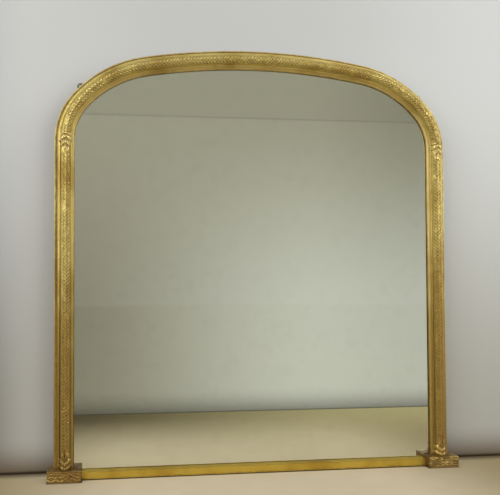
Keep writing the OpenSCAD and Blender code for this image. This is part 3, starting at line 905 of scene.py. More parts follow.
@dataclass(frozen=True)
class Moulding:
    """Torus between two beads, with the ornament in relief, swept round the arch."""

    arch: Arch
    foliage: Foliage = Foliage()
    slip_w: float = 9.0
    back_d: float = 25.0
    inner_d: float = 47.5
    outer_d: float = 41.0
    torus_d: float = 48.0
    torus_r: float = 17.0
    inner_bead_r: float = 1.5
    outer_bead_u: float = 51.4
    outer_bead_r: float = 4.0
    cove_r: float = 12.0
    face_w: float = 70.0
    step: float = 1.2
    torus_n: int = 62
    # Half widths that the leaves cover, at lengths from the spring line
    cover_v: tuple = (-1151, -1128, -1108, -1088, -1074, -1073, -49, -48, -30, -10, 10, 22, 23)
    cover_u: tuple = (30, 28, 22, 13, 6, -20, -20, 6, 13, 20, 21, 18, -20)
    cover_edge: Pair = (-1.0, 2.0)
    relief_edge: Pair = (21.0, 25.0)
    # Relief lost to wear: its greatest share, its patches and their edge, and what the
    # inner side of the left half loses besides
    lost: float = 0.55
    lost_patches: Sway = Sway(70.0, 7)
    lost_edge: Pair = (0.2, 0.8)
    lost_left: float = 0.25
    lost_left_w: Pair = (2.0, 12.0)
    uneven: float = 0.16
    uneven_way: Sway = Sway(90.0, 3)
    # Shares of the measured hollows in the dirt, and what settles on each ground
    torus_share: float = 1.15
    torus_w: float = 22.0
    plain_share: float = 0.5
    ground_dust: float = 0.10
    ground_h: Pair = (0.15, 0.9)
    cove_dust: Pair = (0.16, 0.34)
    cove_u: Pair = (60.0, 68.0)
    cove_v: Pair = (-1000.0, -400.0)
    hollows: tuple = (3, 0.35)
    sharp: float = 50.0

    def section(self) -> tuple[Array, Array]:
        """Closed section, and which of its points lie on the torus.

        Returns:
            (m, 2) values of u and d, and (m,) angles round the torus from its
            front, with nan off the torus.
        """
        a_in, a_out = (math.degrees(math.asin((d - self.torus_d) / self.torus_r))
                       for d in (self.inner_d, self.outer_d))
        torus = arc((self.arch.torus_u, self.torus_d), self.torus_r, 180 - a_in, a_out,
                    self.torus_n)
        inner_bead_u = self.slip_w + self.inner_bead_r
        before = [line((self.slip_w, self.back_d), (self.slip_w, self.inner_d - 1), 4),
                  arc((inner_bead_u, self.inner_d), self.inner_bead_r, 180, 0, 8)]
        after = [arc((self.outer_bead_u, self.outer_d), self.outer_bead_r, 180, 0, 11),
                 arc((self.face_w, self.outer_d), self.cove_r, 180, 270, 11),
                 line((self.face_w, self.back_d), (self.slip_w + 1, self.back_d), 3)]
        phi = np.radians(90 - np.linspace(180 - a_in, a_out, self.torus_n))
        off = [np.full(sum(map(len, parts)), np.nan) for parts in (before, after)]
        return np.concatenate([*before, torus, *after]), np.concatenate([off[0], phi, off[1]])

    def worn_away(self, s: Array, w: Array, side: Side) -> Array:
        """Share of the relief that is gone: patches, and more on the left half.

        Args:
            s, w: place along and across the torus, in mm.
            side: which half.

        Returns:
            Shares from 0 to 1.
        """
        lost = self.lost * smooth(self.lost_patches.at(s, w), *self.lost_edge)
        if side is Side.LEFT:
            lost = 1 - (1 - lost) * (1 - self.lost_left * smooth(w, *self.lost_left_w))
        return lost

    def build(self, run: Run, side: Side, name: str) -> Piece:
        """Makes one length of moulding.

        A point is its place in the section, plus a sway in both directions, plus the
        height of the ornament along the normal of the torus: the relief times what
        the leaves leave free and wear has left. It stays within the section's bounds.

        Args:
            run: which run of the arch.
            side: which half; the crown is made once, for the right.
            name: name of the piece.

        Returns:
            The new object.
        """
        base, out, s = self.arch.rows(run, self.step)
        section, phi = self.section()
        u, d = section.T
        on_torus = ~np.isnan(phi)
        phi = np.where(on_torus, phi, 0.0)
        s, w = s[:, None], (self.torus_r * phi)[None, :]
        covered = np.interp(s, self.cover_v, self.cover_u)
        free = smooth(self.torus_r * np.abs(np.sin(phi)) - covered, *self.cover_edge)
        free = free * (1 - smooth(np.abs(w), *self.relief_edge)) * on_torus
        free = free * (1 - self.worn_away(s, w, side))
        height = self.foliage.relief(s, w) * free

        rings = section + self.uneven * self.uneven_way.at(s, u)[..., None]
        rings = rings + height[..., None] * np.stack([np.sin(phi), np.cos(phi)], 1)
        rings[..., 1] = np.maximum(rings[..., 1], self.back_d)
        rings[:, d <= self.back_d, 1] = self.back_d
        rings[..., 0] = np.clip(rings[..., 0], self.slip_w + 0.02, self.face_w)
        tube = Tube(mirrored(self.arch.place(base, out, rings), side))

        share = np.where(on_torus & (np.abs(w) < self.torus_w), self.torus_share, self.plain_share)
        least, more = self.cove_dust
        cove = np.where(u > self.outer_bead_u + 2, least + more * smooth(u, *self.cove_u), 0.0)
        ground = self.ground_dust * (1 - smooth(height, *self.ground_h)) * free
        dust = cove * smooth(s, *self.cove_v) + ground
        hollow = 0.5 + (tube.hollow(*self.hollows) - 0.5) * share + dust
        return tube.mesh(name, self.sharp, hollow)


@dataclass(frozen=True)
class Slip:
    """Plain hollow between the torus and the glass, with a bead on the sight edge."""

    arch: Arch
    width: float = 9.0
    glass_d: float = 30.0
    top_d: float = 47.0
    lip: float = 0.6
    bead_r: float = 1.3
    hollow_r: float = 15.0
    hollow_end: float = -55.5
    drop: float = 2.3
    step: float = 4.0
    uneven: float = 0.12
    uneven_way: Sway = Sway(120.0, 11)
    # Dirt and painted shade on the sight bead, and dirt in the hollow
    bead_dust_and_shade: float = 0.42
    hollow_dust: float = 0.06
    hollows: tuple = (2, 0.5)
    sharp: float = 40.0

    def section(self) -> Array:
        """Closed section, from the glass up the outside, down the hollow, and the bead.

        Returns:
            (m, 2) values of u and d.
        """
        centre_u = self.width - self.lip - math.sqrt(self.hollow_r**2 - self.drop**2)
        start = math.degrees(math.asin(self.drop / self.hollow_r))
        bead_d = self.glass_d + 1.5 * self.bead_r
        return np.concatenate([
            line((self.width, self.glass_d), (self.width, self.top_d), 6),
            arc((centre_u, self.top_d - self.drop), self.hollow_r, start, self.hollow_end, 24),
            arc((self.bead_r, bead_d), self.bead_r, 40, 180, 9),
            line((0, self.glass_d), (self.width - 1, self.glass_d), 5)])

    def build(self, run: Run, side: Side, name: str) -> Piece:
        """Makes one length of slip: its section along the run, plus a sway in d.

        Args:
            run: which run of the arch.
            side: which half; the crown is made once, for the right.
            name: name of the piece.

        Returns:
            The new object.
        """
        base, out, s = self.arch.rows(run, self.step)
        section = self.section()
        u, d = section.T
        rings = np.tile(section, (len(s), 1, 1))
        inner = (d > self.glass_d + 0.5) & (u < self.width - self.lip - 0.1)
        rings[:, inner, 1] += self.uneven * self.uneven_way.at(s[:, None], u[inner])
        tube = Tube(mirrored(self.arch.place(base, out, rings), side))
        # Dirt and painted shade on the sight bead by the glass, dirt alone in the hollow
        dust = np.where(u < 2 * self.bead_r, self.bead_dust_and_shade, self.hollow_dust)
        return tube.mesh(name, self.sharp, tube.hollow(*self.hollows) + dust)


@dataclass(frozen=True)
class BottomRail:
    """Plain gilt rail under the glass, with a bevel along its top edge."""

    wall_y: float
    end: float = 633.0
    back_d: float = 25.0
    front_d: float = 50.0
    glass_d: float = 30.0
    low_z: float = 2.0
    glass_z: float = 23.0
    sill_z: float = 31.0
    bevel: float = 4.0
    lip: float = 1.0
    rows: int = 320
    uneven: float = 0.16
    uneven_way: Sway = Sway(140.0, 21)
    # Painted shade along the bottom edge, where the rail stands just above the floor: its share
    # and its heights
    dirt_and_shade: float = 0.7
    bottom_shade_z: Pair = (3.0, 9.5)
    hollows: tuple = (2, 0.4)
    sharp: float = 35.0

    def build(self) -> Piece:
        """Carries the section (d, z) along X, with arrises softened by wear.

        The face and the bevel sway in d, and lie back by as much, so that nothing
        passes the section.

        Returns:
            The new object.
        """
        lip_d = self.glass_d + self.lip
        bevel_z = self.sill_z - self.bevel
        section = np.concatenate([
            line((self.back_d, self.low_z), (self.front_d - 0.6, self.low_z), 7),
            line((self.front_d, self.low_z + 0.6), (self.front_d, bevel_z - 0.4), 9),
            line((self.front_d - 0.5, bevel_z), (lip_d + 0.6, self.sill_z - 0.15), 10),
            line((lip_d, self.sill_z), (self.glass_d, self.sill_z), 2),
            line((self.glass_d, self.sill_z - 2), (self.glass_d, self.glass_z), 3),
            line((self.glass_d - 1, self.glass_z), (self.back_d, self.glass_z), 3)])
        x = np.linspace(-self.end, self.end, self.rows)[:, None]
        d, z = section.T[:, None]
        front = d > lip_d + 0.5
        uneven = self.uneven * self.uneven_way.at(x, z) * front
        d = np.minimum(d + uneven - self.uneven * front, self.front_d)
        tube = Tube(np.stack(np.broadcast_arrays(x, self.wall_y - d, z), 2))
        # Painted shade along the bottom edge, just above the floor
        dirt_and_shade = self.dirt_and_shade * (1 - smooth(z, *self.bottom_shade_z))
        return tube.mesh("bottom_rail_gilt", self.sharp, tube.hollow(*self.hollows) + dirt_and_shade)


@dataclass(frozen=True)
class Foot:
    """Carved block at the bottom of each stile, with ridges that flow across it."""

    arch: Arch
    inset: float = 27.0
    overhang: float = 20.0
    face_w: float = 70.0
    height: float = 39.0
    front_d: float = 77.0
    back_d: float = 7.0
    carcase_d: float = 25.0
    glass_d: float = 30.0
    carcase_u: float = 68.2
    glass_u: float = 9.5
    corner_r: float = 9.0
    edge_r: float = 3.0
    # Depth of the carving in mm, how many ridges it has, how far they wander, and the
    # depth of lumps, fine lines and chips as shares
    carve: float = 3.0
    ridges: float = 3.2
    wander: float = 0.45
    wander_way: Sway = Sway(52.0, 40)
    gap_way: Sway = Sway(58.0, 31)
    right_turn: float = 2.1
    right_fade: float = 0.35
    right_fade_z: Pair = (14.0, 22.0)
    lumps: float = 0.45
    lump_way: Sway = Sway(34.0, 50)
    lines: float = 0.14
    chips: float = 0.08
    chip_way: Sway = Sway(9.0, 35)
    # How much of the carving the sides take, and how round the top and bottom edges are
    side_carve: float = 0.55
    top_inset: float = 0.9
    top_edge: float = 1.6
    # Painted shade and grime along the bottom, dirt and painted shade on the inner side, dirt in
    # patches and all over on the right
    bottom_shade_and_grime: float = 0.75
    bottom_shade_and_grime_z: Pair = (0.5, 7.5)
    side_dirt_and_shade: float = 0.45
    patch_soil: float = 0.40
    patch_way: Sway = Sway(60.0, 60)
    right_soil: float = 0.14
    hollows: tuple = (5, 1.0)
    hollow_gain: float = 1.5
    sharp: float = 50.0

    @property
    def inner_x(self) -> float:
        """The inner side of the right-hand block."""
        return self.arch.half_w - self.inset

    @property
    def outer_x(self) -> float:
        """The outer side of the right-hand block."""
        return self.arch.half_w + self.face_w + self.overhang

    def plan(self) -> tuple[Array, Array]:
        """Outline seen from above, from the glass round the front to the back.

        Returns:
            (n, 2) values of x and d, and (n,) shares of the depth that each point
            may be carved.
        """
        x0, x1, r = self.inner_x, self.outer_x, self.edge_r
        xg, xc = self.arch.half_w + self.glass_u, self.arch.half_w + self.carcase_u
        parts = [(line((x0, self.glass_d), (x0, self.front_d - r), 30), 0.6),
                 (arc((x0 + r, self.front_d - r), r, 180, 90, 8), 1.0),
                 (line((x0 + r + 0.8, self.front_d), (x1 - r - 0.8, self.front_d), 140), 1.0),
                 (arc((x1 - r, self.front_d - r), r, 90, 0, 8), 1.0),
                 (line((x1, self.front_d - r - 0.8), (x1, self.back_d), 44), 0.8),
                 (line((x1 - 0.5, self.back_d), (xc, self.back_d), 4), 0.0),
                 (line((xc, self.back_d + 1), (xc, self.carcase_d), 4), 0.0),
                 (line((xc - 1, self.carcase_d), (xg, self.carcase_d), 5), 0.0),
                 (line((xg, self.carcase_d + 1), (xg, self.glass_d), 3), 0.0),
                 (line((xg - 1, self.glass_d), (x0 + 1, self.glass_d), 5), 0.0)]
        depth = [np.full(len(points), share) for points, share in parts]
        return np.concatenate([points for points, _ in parts]), np.concatenate(depth)

    def ridge(self, around: Array, z: Array, side: Side) -> Array:
        """Depth of the carving: ridges that wander, split and meet as they go round.

        The phase of the ridges is their number times the height, bent by three sines
        and a sway. The grooves come and go, and lumps, fine lines and chips lie
        between them.

        Args:
            around: length round the block, in mm.
            z: height, in mm.
            side: picks the run of the ridges.

        Returns:
            Share of the full depth, 0 on a crest and 1 in a groove.
        """
        turn = 0.0 if side is Side.LEFT else self.right_turn
        swell = 1 + 0.25 * np.sin(around / 23.0 + turn)
        lift = (0.34 * np.sin(around / 15.0 + turn) + 0.20 * np.sin(around / 7.3 + 2.0 * turn)
                + 0.16 * np.sin(around / 31.0 + z / 9.0))
        lift = lift + self.wander * self.wander_way.at(around, 1.5 * z, side)
        phase = self.ridges * (z / self.height) * swell + lift
        fade = np.clip(0.70 + 0.70 * self.gap_way.at(around, 2.2 * z, side), 0.08, 1)
        if side is Side.RIGHT:
            fade = fade * (1 - self.right_fade * smooth(z, *self.right_fade_z))
        valley = np.abs(np.cos(np.pi * phase)) ** 3.0 * fade
        lumps = np.clip(0.5 + 0.9 * self.lump_way.at(around, 1.2 * z, side), 0, 1)
        fine = 0.5 + 0.5 * np.cos(2 * np.pi * (2.6 * phase + around / 37.0))
        chips = np.clip(self.chip_way.at(around, 1.4 * z), 0, 1)
        rest = self.lumps * lumps + self.lines * fine + self.chips * chips
        return np.clip(valley + rest * (1 - valley), 0, 1.1)

    def build(self, side: Side) -> Piece:
        """Makes the block: rows of its plan up Z, drawn in at the rounded corners.

        The carving, times the plan's shares and less near the top and bottom edges,
        is taken from d on the front and partly from x on the two sides.

        Args:
            side: which stile it stands under.

        Returns:
            The new object.
        """
        plan, depth = self.plan()
        z = np.concatenate([np.linspace(0, 0.9, 3), np.linspace(1.4, self.height - 1.4, 62),
                            self.height - np.array([0.8, 0.35, 0.0])])[:, None]
        low = np.clip(self.corner_r - z, 0, self.corner_r)
        top = smooth(z, self.height - self.top_edge, self.height)
        inset = self.corner_r - np.sqrt(self.corner_r**2 - low**2) + self.top_inset * top
        width = self.outer_x - self.inner_x
        share = (plan[:, 0] - self.inner_x) / width
        x = self.inner_x + inset + share * (width - 2 * inset)
        around = np.concatenate([[0], np.cumsum(np.hypot(*np.diff(plan, axis=0).T))])[None]
        rim = smooth(z, 1.0, 4.0) * (1 - 0.75 * smooth(z, self.height - 4.5, self.height - 1.5))
        carved = self.carve * self.ridge(around, z, side) * depth * rim
        front = smooth(plan[:, 1], self.front_d - self.edge_r - 1.5, self.front_d - 0.3)
        d = plan[:, 1] - carved * front - 0.5 * front * top
        inner_side = (1 - smooth(share, 0.0, 0.04)) * (depth > 0)
        outer_side = smooth(share, 0.96, 1.0) * (depth > 0)
        behind = self.side_carve * smooth(plan[:, 1], self.carcase_d, self.glass_d + 8)
        x = x + carved * behind * (inner_side - outer_side) * (1 - front)
        points = np.stack(np.broadcast_arrays(x, self.arch.wall_y - d, z), 2)
        tube = Tube(mirrored(points, side))

        # Painted shade and grime along the bottom edge, where the foot meets the floor, and dirt
        # and painted shade on the inner side; dirt in patches, and all over on the right
        dirt_and_shade = self.bottom_shade_and_grime * (1 - smooth(z, *self.bottom_shade_and_grime_z)) + self.side_dirt_and_shade * inner_side
        dirt_and_shade = dirt_and_shade + self.patch_soil * self.patch_way.at(around, 1.6 * z, side)
        if side is Side.RIGHT:
            dirt_and_shade = dirt_and_shade + self.right_soil
        hollow = 0.5 + self.hollow_gain * (tube.hollow(*self.hollows) - 0.5)
        return tube.mesh(f"foot_carved_{side.word}", self.sharp, hollow + dirt_and_shade)


CAPITAL_OUTLINE = ((0.68, 0), (0.86, 0.16), (0.58, 0.215), (1, 0.45),
                   (0.52, 0.5), (0.64, 0.74), (0.34, 0.765), (0.09, 1))
BASE_OUTLINE = ((0.75, 0), (1, 0.215), (0.62, 0.285), (0.86, 0.5),
                (0.46, 0.545), (0.54, 0.76), (0.3, 0.785), (0.09, 1))


@dataclass(frozen=True)
class Leaf:
    """Acanthus leaf on the face of a stile, from its root at v0 to its tip at v1.

    Its outline is half of a leaf, as shares (across, along): odd points are tips of
    lobes and even ones are notches. A rib leaves the midrib for each of them.
    """

    arch: Arch
    v0: float
    v1: float
    half_w: float
    outline: tuple
    steps: int = 18
    cols: int = 72
    edge_t: float = 1.3
    crown_t: float = 3.4
    least_t: float = 0.8
    gap: float = 0.3
    torus_r: float = 17.0
    top_d: float = 65.0
    lobe_t: float = 2.1
    lobe_tip_t: float = 2.2
    eye_t: float = 3.6
    midrib_t: float = 1.5
    midrib_groove_t: float = 0.9
    tip_t: float = 2.6
    vein_t: float = 0.3
    flutes: float = 0.0
    upper: Pair = (0.30, 0.62)
    flute_end: Pair = (0.55, 0.80)
    bowl_at: float = 0.36
    bowl_len: float = 0.17
    bowl_deep: float = 1.7
    bowl_edge: float = 0.62
    bowl_dust: float = 0.12
    tip_dust: float = -0.25
    tip_from: Pair = (0.55, 0.75)
    inner_d: float = 49.0
    outer_d: float = 45.0
    inner_u: float = 10.5
    fall: float = 1.2
    ribs: tuple = (0, 0.05, 0.13, 0.24, 0.34, 0.48, 0.58, 1)
    swells: tuple = (0.15, -0.1, 0.22, -0.1, 0.22, -0.1, 0.14)
    hollows: tuple = (4, 0.5)
    sharp: float = 60.0

    def seat(self, u: Array) -> Array:
        """Depth of the face under the leaf: the torus, draped to the beads and the hollow.

        Args:
            u: distances outward from the sight edge.

        Returns:
            Distances from the wall.
        """
        du = np.abs(u - self.arch.torus_u)
        bead = np.where(u < self.arch.torus_u, self.inner_d, self.outer_d)
        low = bead - self.fall * np.maximum(0, self.inner_u - u)
        drape = low + (self.top_d - bead) * np.maximum(0, 1 - (du / (self.torus_r + 3)) ** 2.6)
        round_d = self.top_d - self.torus_r + np.sqrt(np.maximum(0, self.torus_r**2 - du**2))
        return self.gap + np.where(du < self.torus_r, np.maximum(drape, round_d), drape)

    def bowl(self, share: Array, a: Array) -> Array:
        """Hollow in the body of the leaf, as a share of its depth."""
        return bell(share, self.bowl_at, self.bowl_len) * (1 - smooth(a, 0.25, self.bowl_edge))

    def thickness(self, a: Array, share: Array, rib: Array, crest: Array, g: Array) -> Array:
        """Thickness of the leaf, as a sum.

        A crown across the leaf, a swell along each lobe, flutes in the upper part, a
        groove and an eye behind each notch, the midrib between two grooves, a curl
        at the tip, less the bowl, and fine veins.

        Args:
            a: distance from the midrib, 0 to 1 at the outline.
            share: distance along the leaf, 0 to 1 at the tip.
            rib: where each rib leaves the midrib, as a share.
            crest: 1 along a lobe and 0 along a notch.
            g: number of the rib, with fractions between them.

        Returns:
            Thickness in mm.
        """
        notch = (1 - crest) ** 2
        upper = smooth(share, *self.upper) * min(self.flutes, 1.0)
        lobe = self.lobe_t * crest**1.5 * np.sin(np.pi * a**1.3) + self.lobe_tip_t * crest * a**3
        fine = upper * (1 - 0.75 * smooth(share, *self.flute_end))
        vein = np.cos(5 * np.pi * g) * np.clip((a - 0.12) / 0.2, 0, 1) * (1 - a) ** 0.2
        thick = self.edge_t + self.crown_t * (1 - a * a) * (0.5 + 0.5 * crest)
        thick = thick + lobe * (1 - 0.9 * upper)
        thick = thick + self.flutes * fine * np.cos(7 * np.pi * a) * (1 - a**4)
        thick = thick - notch * (self.eye_t * bell(a, 0.74, 0.20) + 1.2 * a * (1 - a))
        thick = thick + self.midrib_t * bell(a, 0, 0.07) * (1 - 0.7 * rib)
        thick = thick - self.midrib_groove_t * bell(a, 0.14, 0.055) * (1 - rib)
        thick = thick + self.tip_t * bell(share, 0.97, 0.08) * (1 - 0.6 * a)
        thick = thick - self.bowl_deep * self.bowl(share, a)
        return np.maximum(thick + self.vein_t * vein, self.least_t)

    def build(self, name: str, side: Side) -> Piece:
        """Makes the leaf as a closed shell, whose rows run from the midrib to the outline.

        The front is the seat plus the thickness, and the back is the seat. Between
        two keys the outline is a straight way plus a sine bulge, with small teeth.

        Args:
            name: name of the piece.
            side: which stile it lies on.

        Returns:
            The new object.
        """
        keys, ribs, swells = (np.array(v, float) for v in (self.outline, self.ribs, self.swells))
        count = len(swells)
        g = np.linspace(0, count, count * self.steps + 1)
        k = np.minimum(count - 1, g.astype(int))
        f = g - k
        way = keys[k + 1] - keys[k]
        bulge = (swells[k] * np.sin(np.pi * f))[:, None] * np.stack([way[:, 1], -way[:, 0]], 1)
        ends = keys[k] + f[:, None] * way + bulge
        across, along = ends[:, :1], ends[:, 1:]
        rib = (ribs[k] + f * (ribs[k + 1] - ribs[k]))[:, None]
        crest = np.where(k % 2 == 0, np.sin(np.pi / 2 * f), np.cos(np.pi / 2 * f))[:, None]
        g = g[:, None]
        teeth = 1 - 0.075 * np.abs(np.sin(2.5 * np.pi * g)) ** 0.8 * (1 - along) ** 0.3

        def surface(t: Array) -> tuple[Array, Array, Array, Array]:
            """Places of the points at t, from -1 over the midrib to 1.

            A point lies along its rib by the size of t to the power 1.15, and across
            by t times the half width of the leaf at the rib's end.

            Args:
                t: distances across, as shares.

            Returns:
                The size of t, the share along the leaf, u, and the seat at u.
            """
            a = np.abs(t)
            share = rib + (along - rib) * a**1.15
            u = self.arch.torus_u + t * self.half_w * across * teeth
            return a, share, u, self.seat(u)

        reach = self.v1 - self.v0
        a, share, u, d = surface(np.linspace(-1, 1, self.cols + 1)[None])
        d = d + self.thickness(a, share, rib, crest, g)
        front = self.arch.face(u, self.v0 + reach * share, d)
        dust = self.bowl_dust * self.bowl(share, a)
        dust = dust + self.tip_dust * self.flutes * smooth(share, *self.tip_from)
        _, share, u, d = surface(np.linspace(1, -1, self.cols // 2 + 1)[None])
        back = self.arch.face(u, self.v0 + reach * share, d)
        tube = Tube(mirrored(np.concatenate([front, back], 1), side))
        hollow = tube.hollow(*self.hollows)
        hollow[:, :self.cols + 1] += dust
        return tube.mesh(name, self.sharp, hollow)


@dataclass(frozen=True)
class GiltFrame:
    """Everything gilt: mouldings, slips, bottom rail, feet and leaves."""

    arch: Arch
    capital_rise: float = 22.0
    capital_len: float = 70.0
    capital_half_w: float = 25.0
    base_gap: float = 0.3
    base_len: float = 80.0
    base_half_w: float = 28.0

    def finishes(self) -> dict[str, Material]:
        """Makes the gildings, all from one group.

        Returns:
            The materials by their names.
        """
        group = AgedGilding().build()
        kinds = (
            Gilding("torus_gilding", srgb(231, 211, 129), srgb(199, 171, 91), 0.0, -0.12,
                    rough=0.10),
            Gilding("slip_gilding", srgb(238, 216, 146), srgb(212, 185, 108), -0.06, -0.12,
                    bump=0.12, rough=0.26),
            Gilding("rail_gilding", srgb(210, 181, 80), srgb(189, 157, 62), -0.06, -0.14, 0.0,
                    bump=0.15, rough=0.2),
            Gilding("foot_gilding", srgb(204, 178, 107), srgb(164, 134, 74), 0.0, 0.12, 0.3),
            Gilding("leaf_gilding", srgb(236, 212, 138), srgb(190, 160, 90), -0.02, 0.11, 0.6),
            Gilding("low_leaf_gilding", srgb(214, 186, 110), srgb(160, 130, 70), 0.04, 0.14, 0.4))
        return {kind.name: kind.build(group) for kind in kinds}

    def build(self) -> None:
        """Makes every gilt piece and puts it in the place of its node."""
        gilt = self.finishes()
        moulding, slip = Moulding(self.arch), Slip(self.arch)
        for run in Run:
            for side in Side:
                if run is Run.CROWN and side is Side.LEFT:
                    continue
                ending = "" if run is Run.CROWN else f"_{side.word}"
                install(moulding.build(run, side, f"{run.value}_torus{ending}"),
                        f"{run.value}_moulding{ending}", gilt["torus_gilding"])
                install(slip.build(run, side, f"{run.value}_hollow{ending}"),
                        f"slip_{run.value}{ending}", gilt["slip_gilding"])

        install(BottomRail(self.arch.wall_y).build(), "bottom_rail",
                gilt["rail_gilding"])
        low = self.arch.foot_h - self.arch.spring_z
        capital = Leaf(self.arch, self.capital_rise, self.capital_rise - self.capital_len,
                       self.capital_half_w, CAPITAL_OUTLINE)
        base = Leaf(self.arch, low + self.base_gap, low + self.base_len, self.base_half_w,
                    BASE_OUTLINE, flutes=1.1, bowl_at=0.56, bowl_deep=1.2, bowl_edge=0.9)
        foot = Foot(self.arch)
        for side in Side:
            install(foot.build(side), f"foot_{side.word}", gilt["foot_gilding"])
            install(capital.build(f"capital_acanthus_{side.word}", side),
                    f"capital_leaf_{side.word}", gilt["leaf_gilding"])
            install(base.build(f"base_acanthus_{side.word}", side),
                    f"base_leaf_{side.word}", gilt["low_leaf_gilding"])


# ------------------------------------------------------------------------ back


@dataclass(frozen=True)
class Screw:
    """Slotted countersunk wood screw, driven from the back."""

    head_r: float = 4.0
    shank_r: float = 2.0
    head_h: float = 2.0
    point_h: float = 5.0
    point_r: float = 0.3
    slot_w: float = 0.9
    slot_depth: float = 0.9
    slot_edge: float = 0.12
    arris: float = 0.25
    face_rings: int = 14
    around: int = 64
    hollows: tuple = (2, 0.3)
    sharp: float = 40.0

    def rings(self, place: Pair, d: float, length: float, turn: float) -> Array:
        """Rings of the screw: the slotted face, the cone and the shank.

        Each is a circle at its own depth, and the face is deeper by the slot where a
        point's distance from the slot's middle line is small.

        Args:
            place: (x, z) of its axis, in mm.
            d: depth of its face from the wall.
            length: its whole length.
            turn: direction of the slot, in radians.

        Returns:
            (rows, cols, 3) points, with y from the wall.
        """
        face = [(r, 0.0) for r in np.linspace(0.05, self.head_r - self.arris, self.face_rings)]
        face.append((self.head_r, self.arris))
        body = [(self.shank_r, self.head_h), (self.shank_r, length - self.point_h),
                (self.point_r, length)]
        r, deep = np.array(face + body).T[..., None]
        a = np.linspace(0, 2 * np.pi, self.around, endpoint=False)
        x, z = r * np.cos(a), r * np.sin(a)
        across = np.abs(x * math.sin(turn) - z * math.cos(turn))
        half = self.slot_w / 2
        slot = self.slot_depth * (1 - smooth(across, half - self.slot_edge, half + self.slot_edge))
        slot[len(face):] = 0
        return np.stack([place[0] + x, -(d + deep + slot), place[1] + z], 2)


@dataclass(frozen=True)
class Pane:
    """Flat sheet with the outline of the arch: the glass, or the film behind it."""

    arch: Arch
    back_d: float = 25.0
    front_d: float = 30.0
    inset: float = 0.0
    arris: float = 0.5
    lap: float = 8.0
    low_z: float = 23.0
    step: float = 12.0
    sharp: float = 20.0

    def outline(self, u: float) -> Array:
        """Ring of the arch with a straight foot.

        Args:
            u: distance outward from the sight edge.

        Returns:
            (n, 2) values of x and z.
        """
        stile, shoulder, haunch, crown = (
            base + u * out for base, out, _ in (self.arch.rows(run, self.step) for run in Run))
        foot = (stile[0, 0], self.low_z + self.lap - u)
        right = np.concatenate([[foot], stile[:-1], shoulder[:-1], haunch])
        return np.concatenate([right, crown[1:-1], right[::-1] * np.array([-1.0, 1.0])])

    def build(self, name: str) -> Piece:
        """Makes the sheet: four rings, with an arris ground along each edge.

        Args:
            name: name of the piece.

        Returns:
            The new object.
        """
        u = self.lap - self.inset
        rings = [(u - self.arris, self.front_d), (u, self.front_d - self.arris),
                 (u, self.back_d + self.arris), (u - self.arris, self.back_d)]
        xz = np.stack([self.outline(reach) for reach, _ in rings])
        y = self.arch.wall_y - np.array([d for _, d in rings])
        points = np.stack(np.broadcast_arrays(xz[..., 0], y[:, None], xz[..., 1]), 2)
        return Tube(points).mesh(name, self.sharp, np.full(points.shape[:2], 0.5))


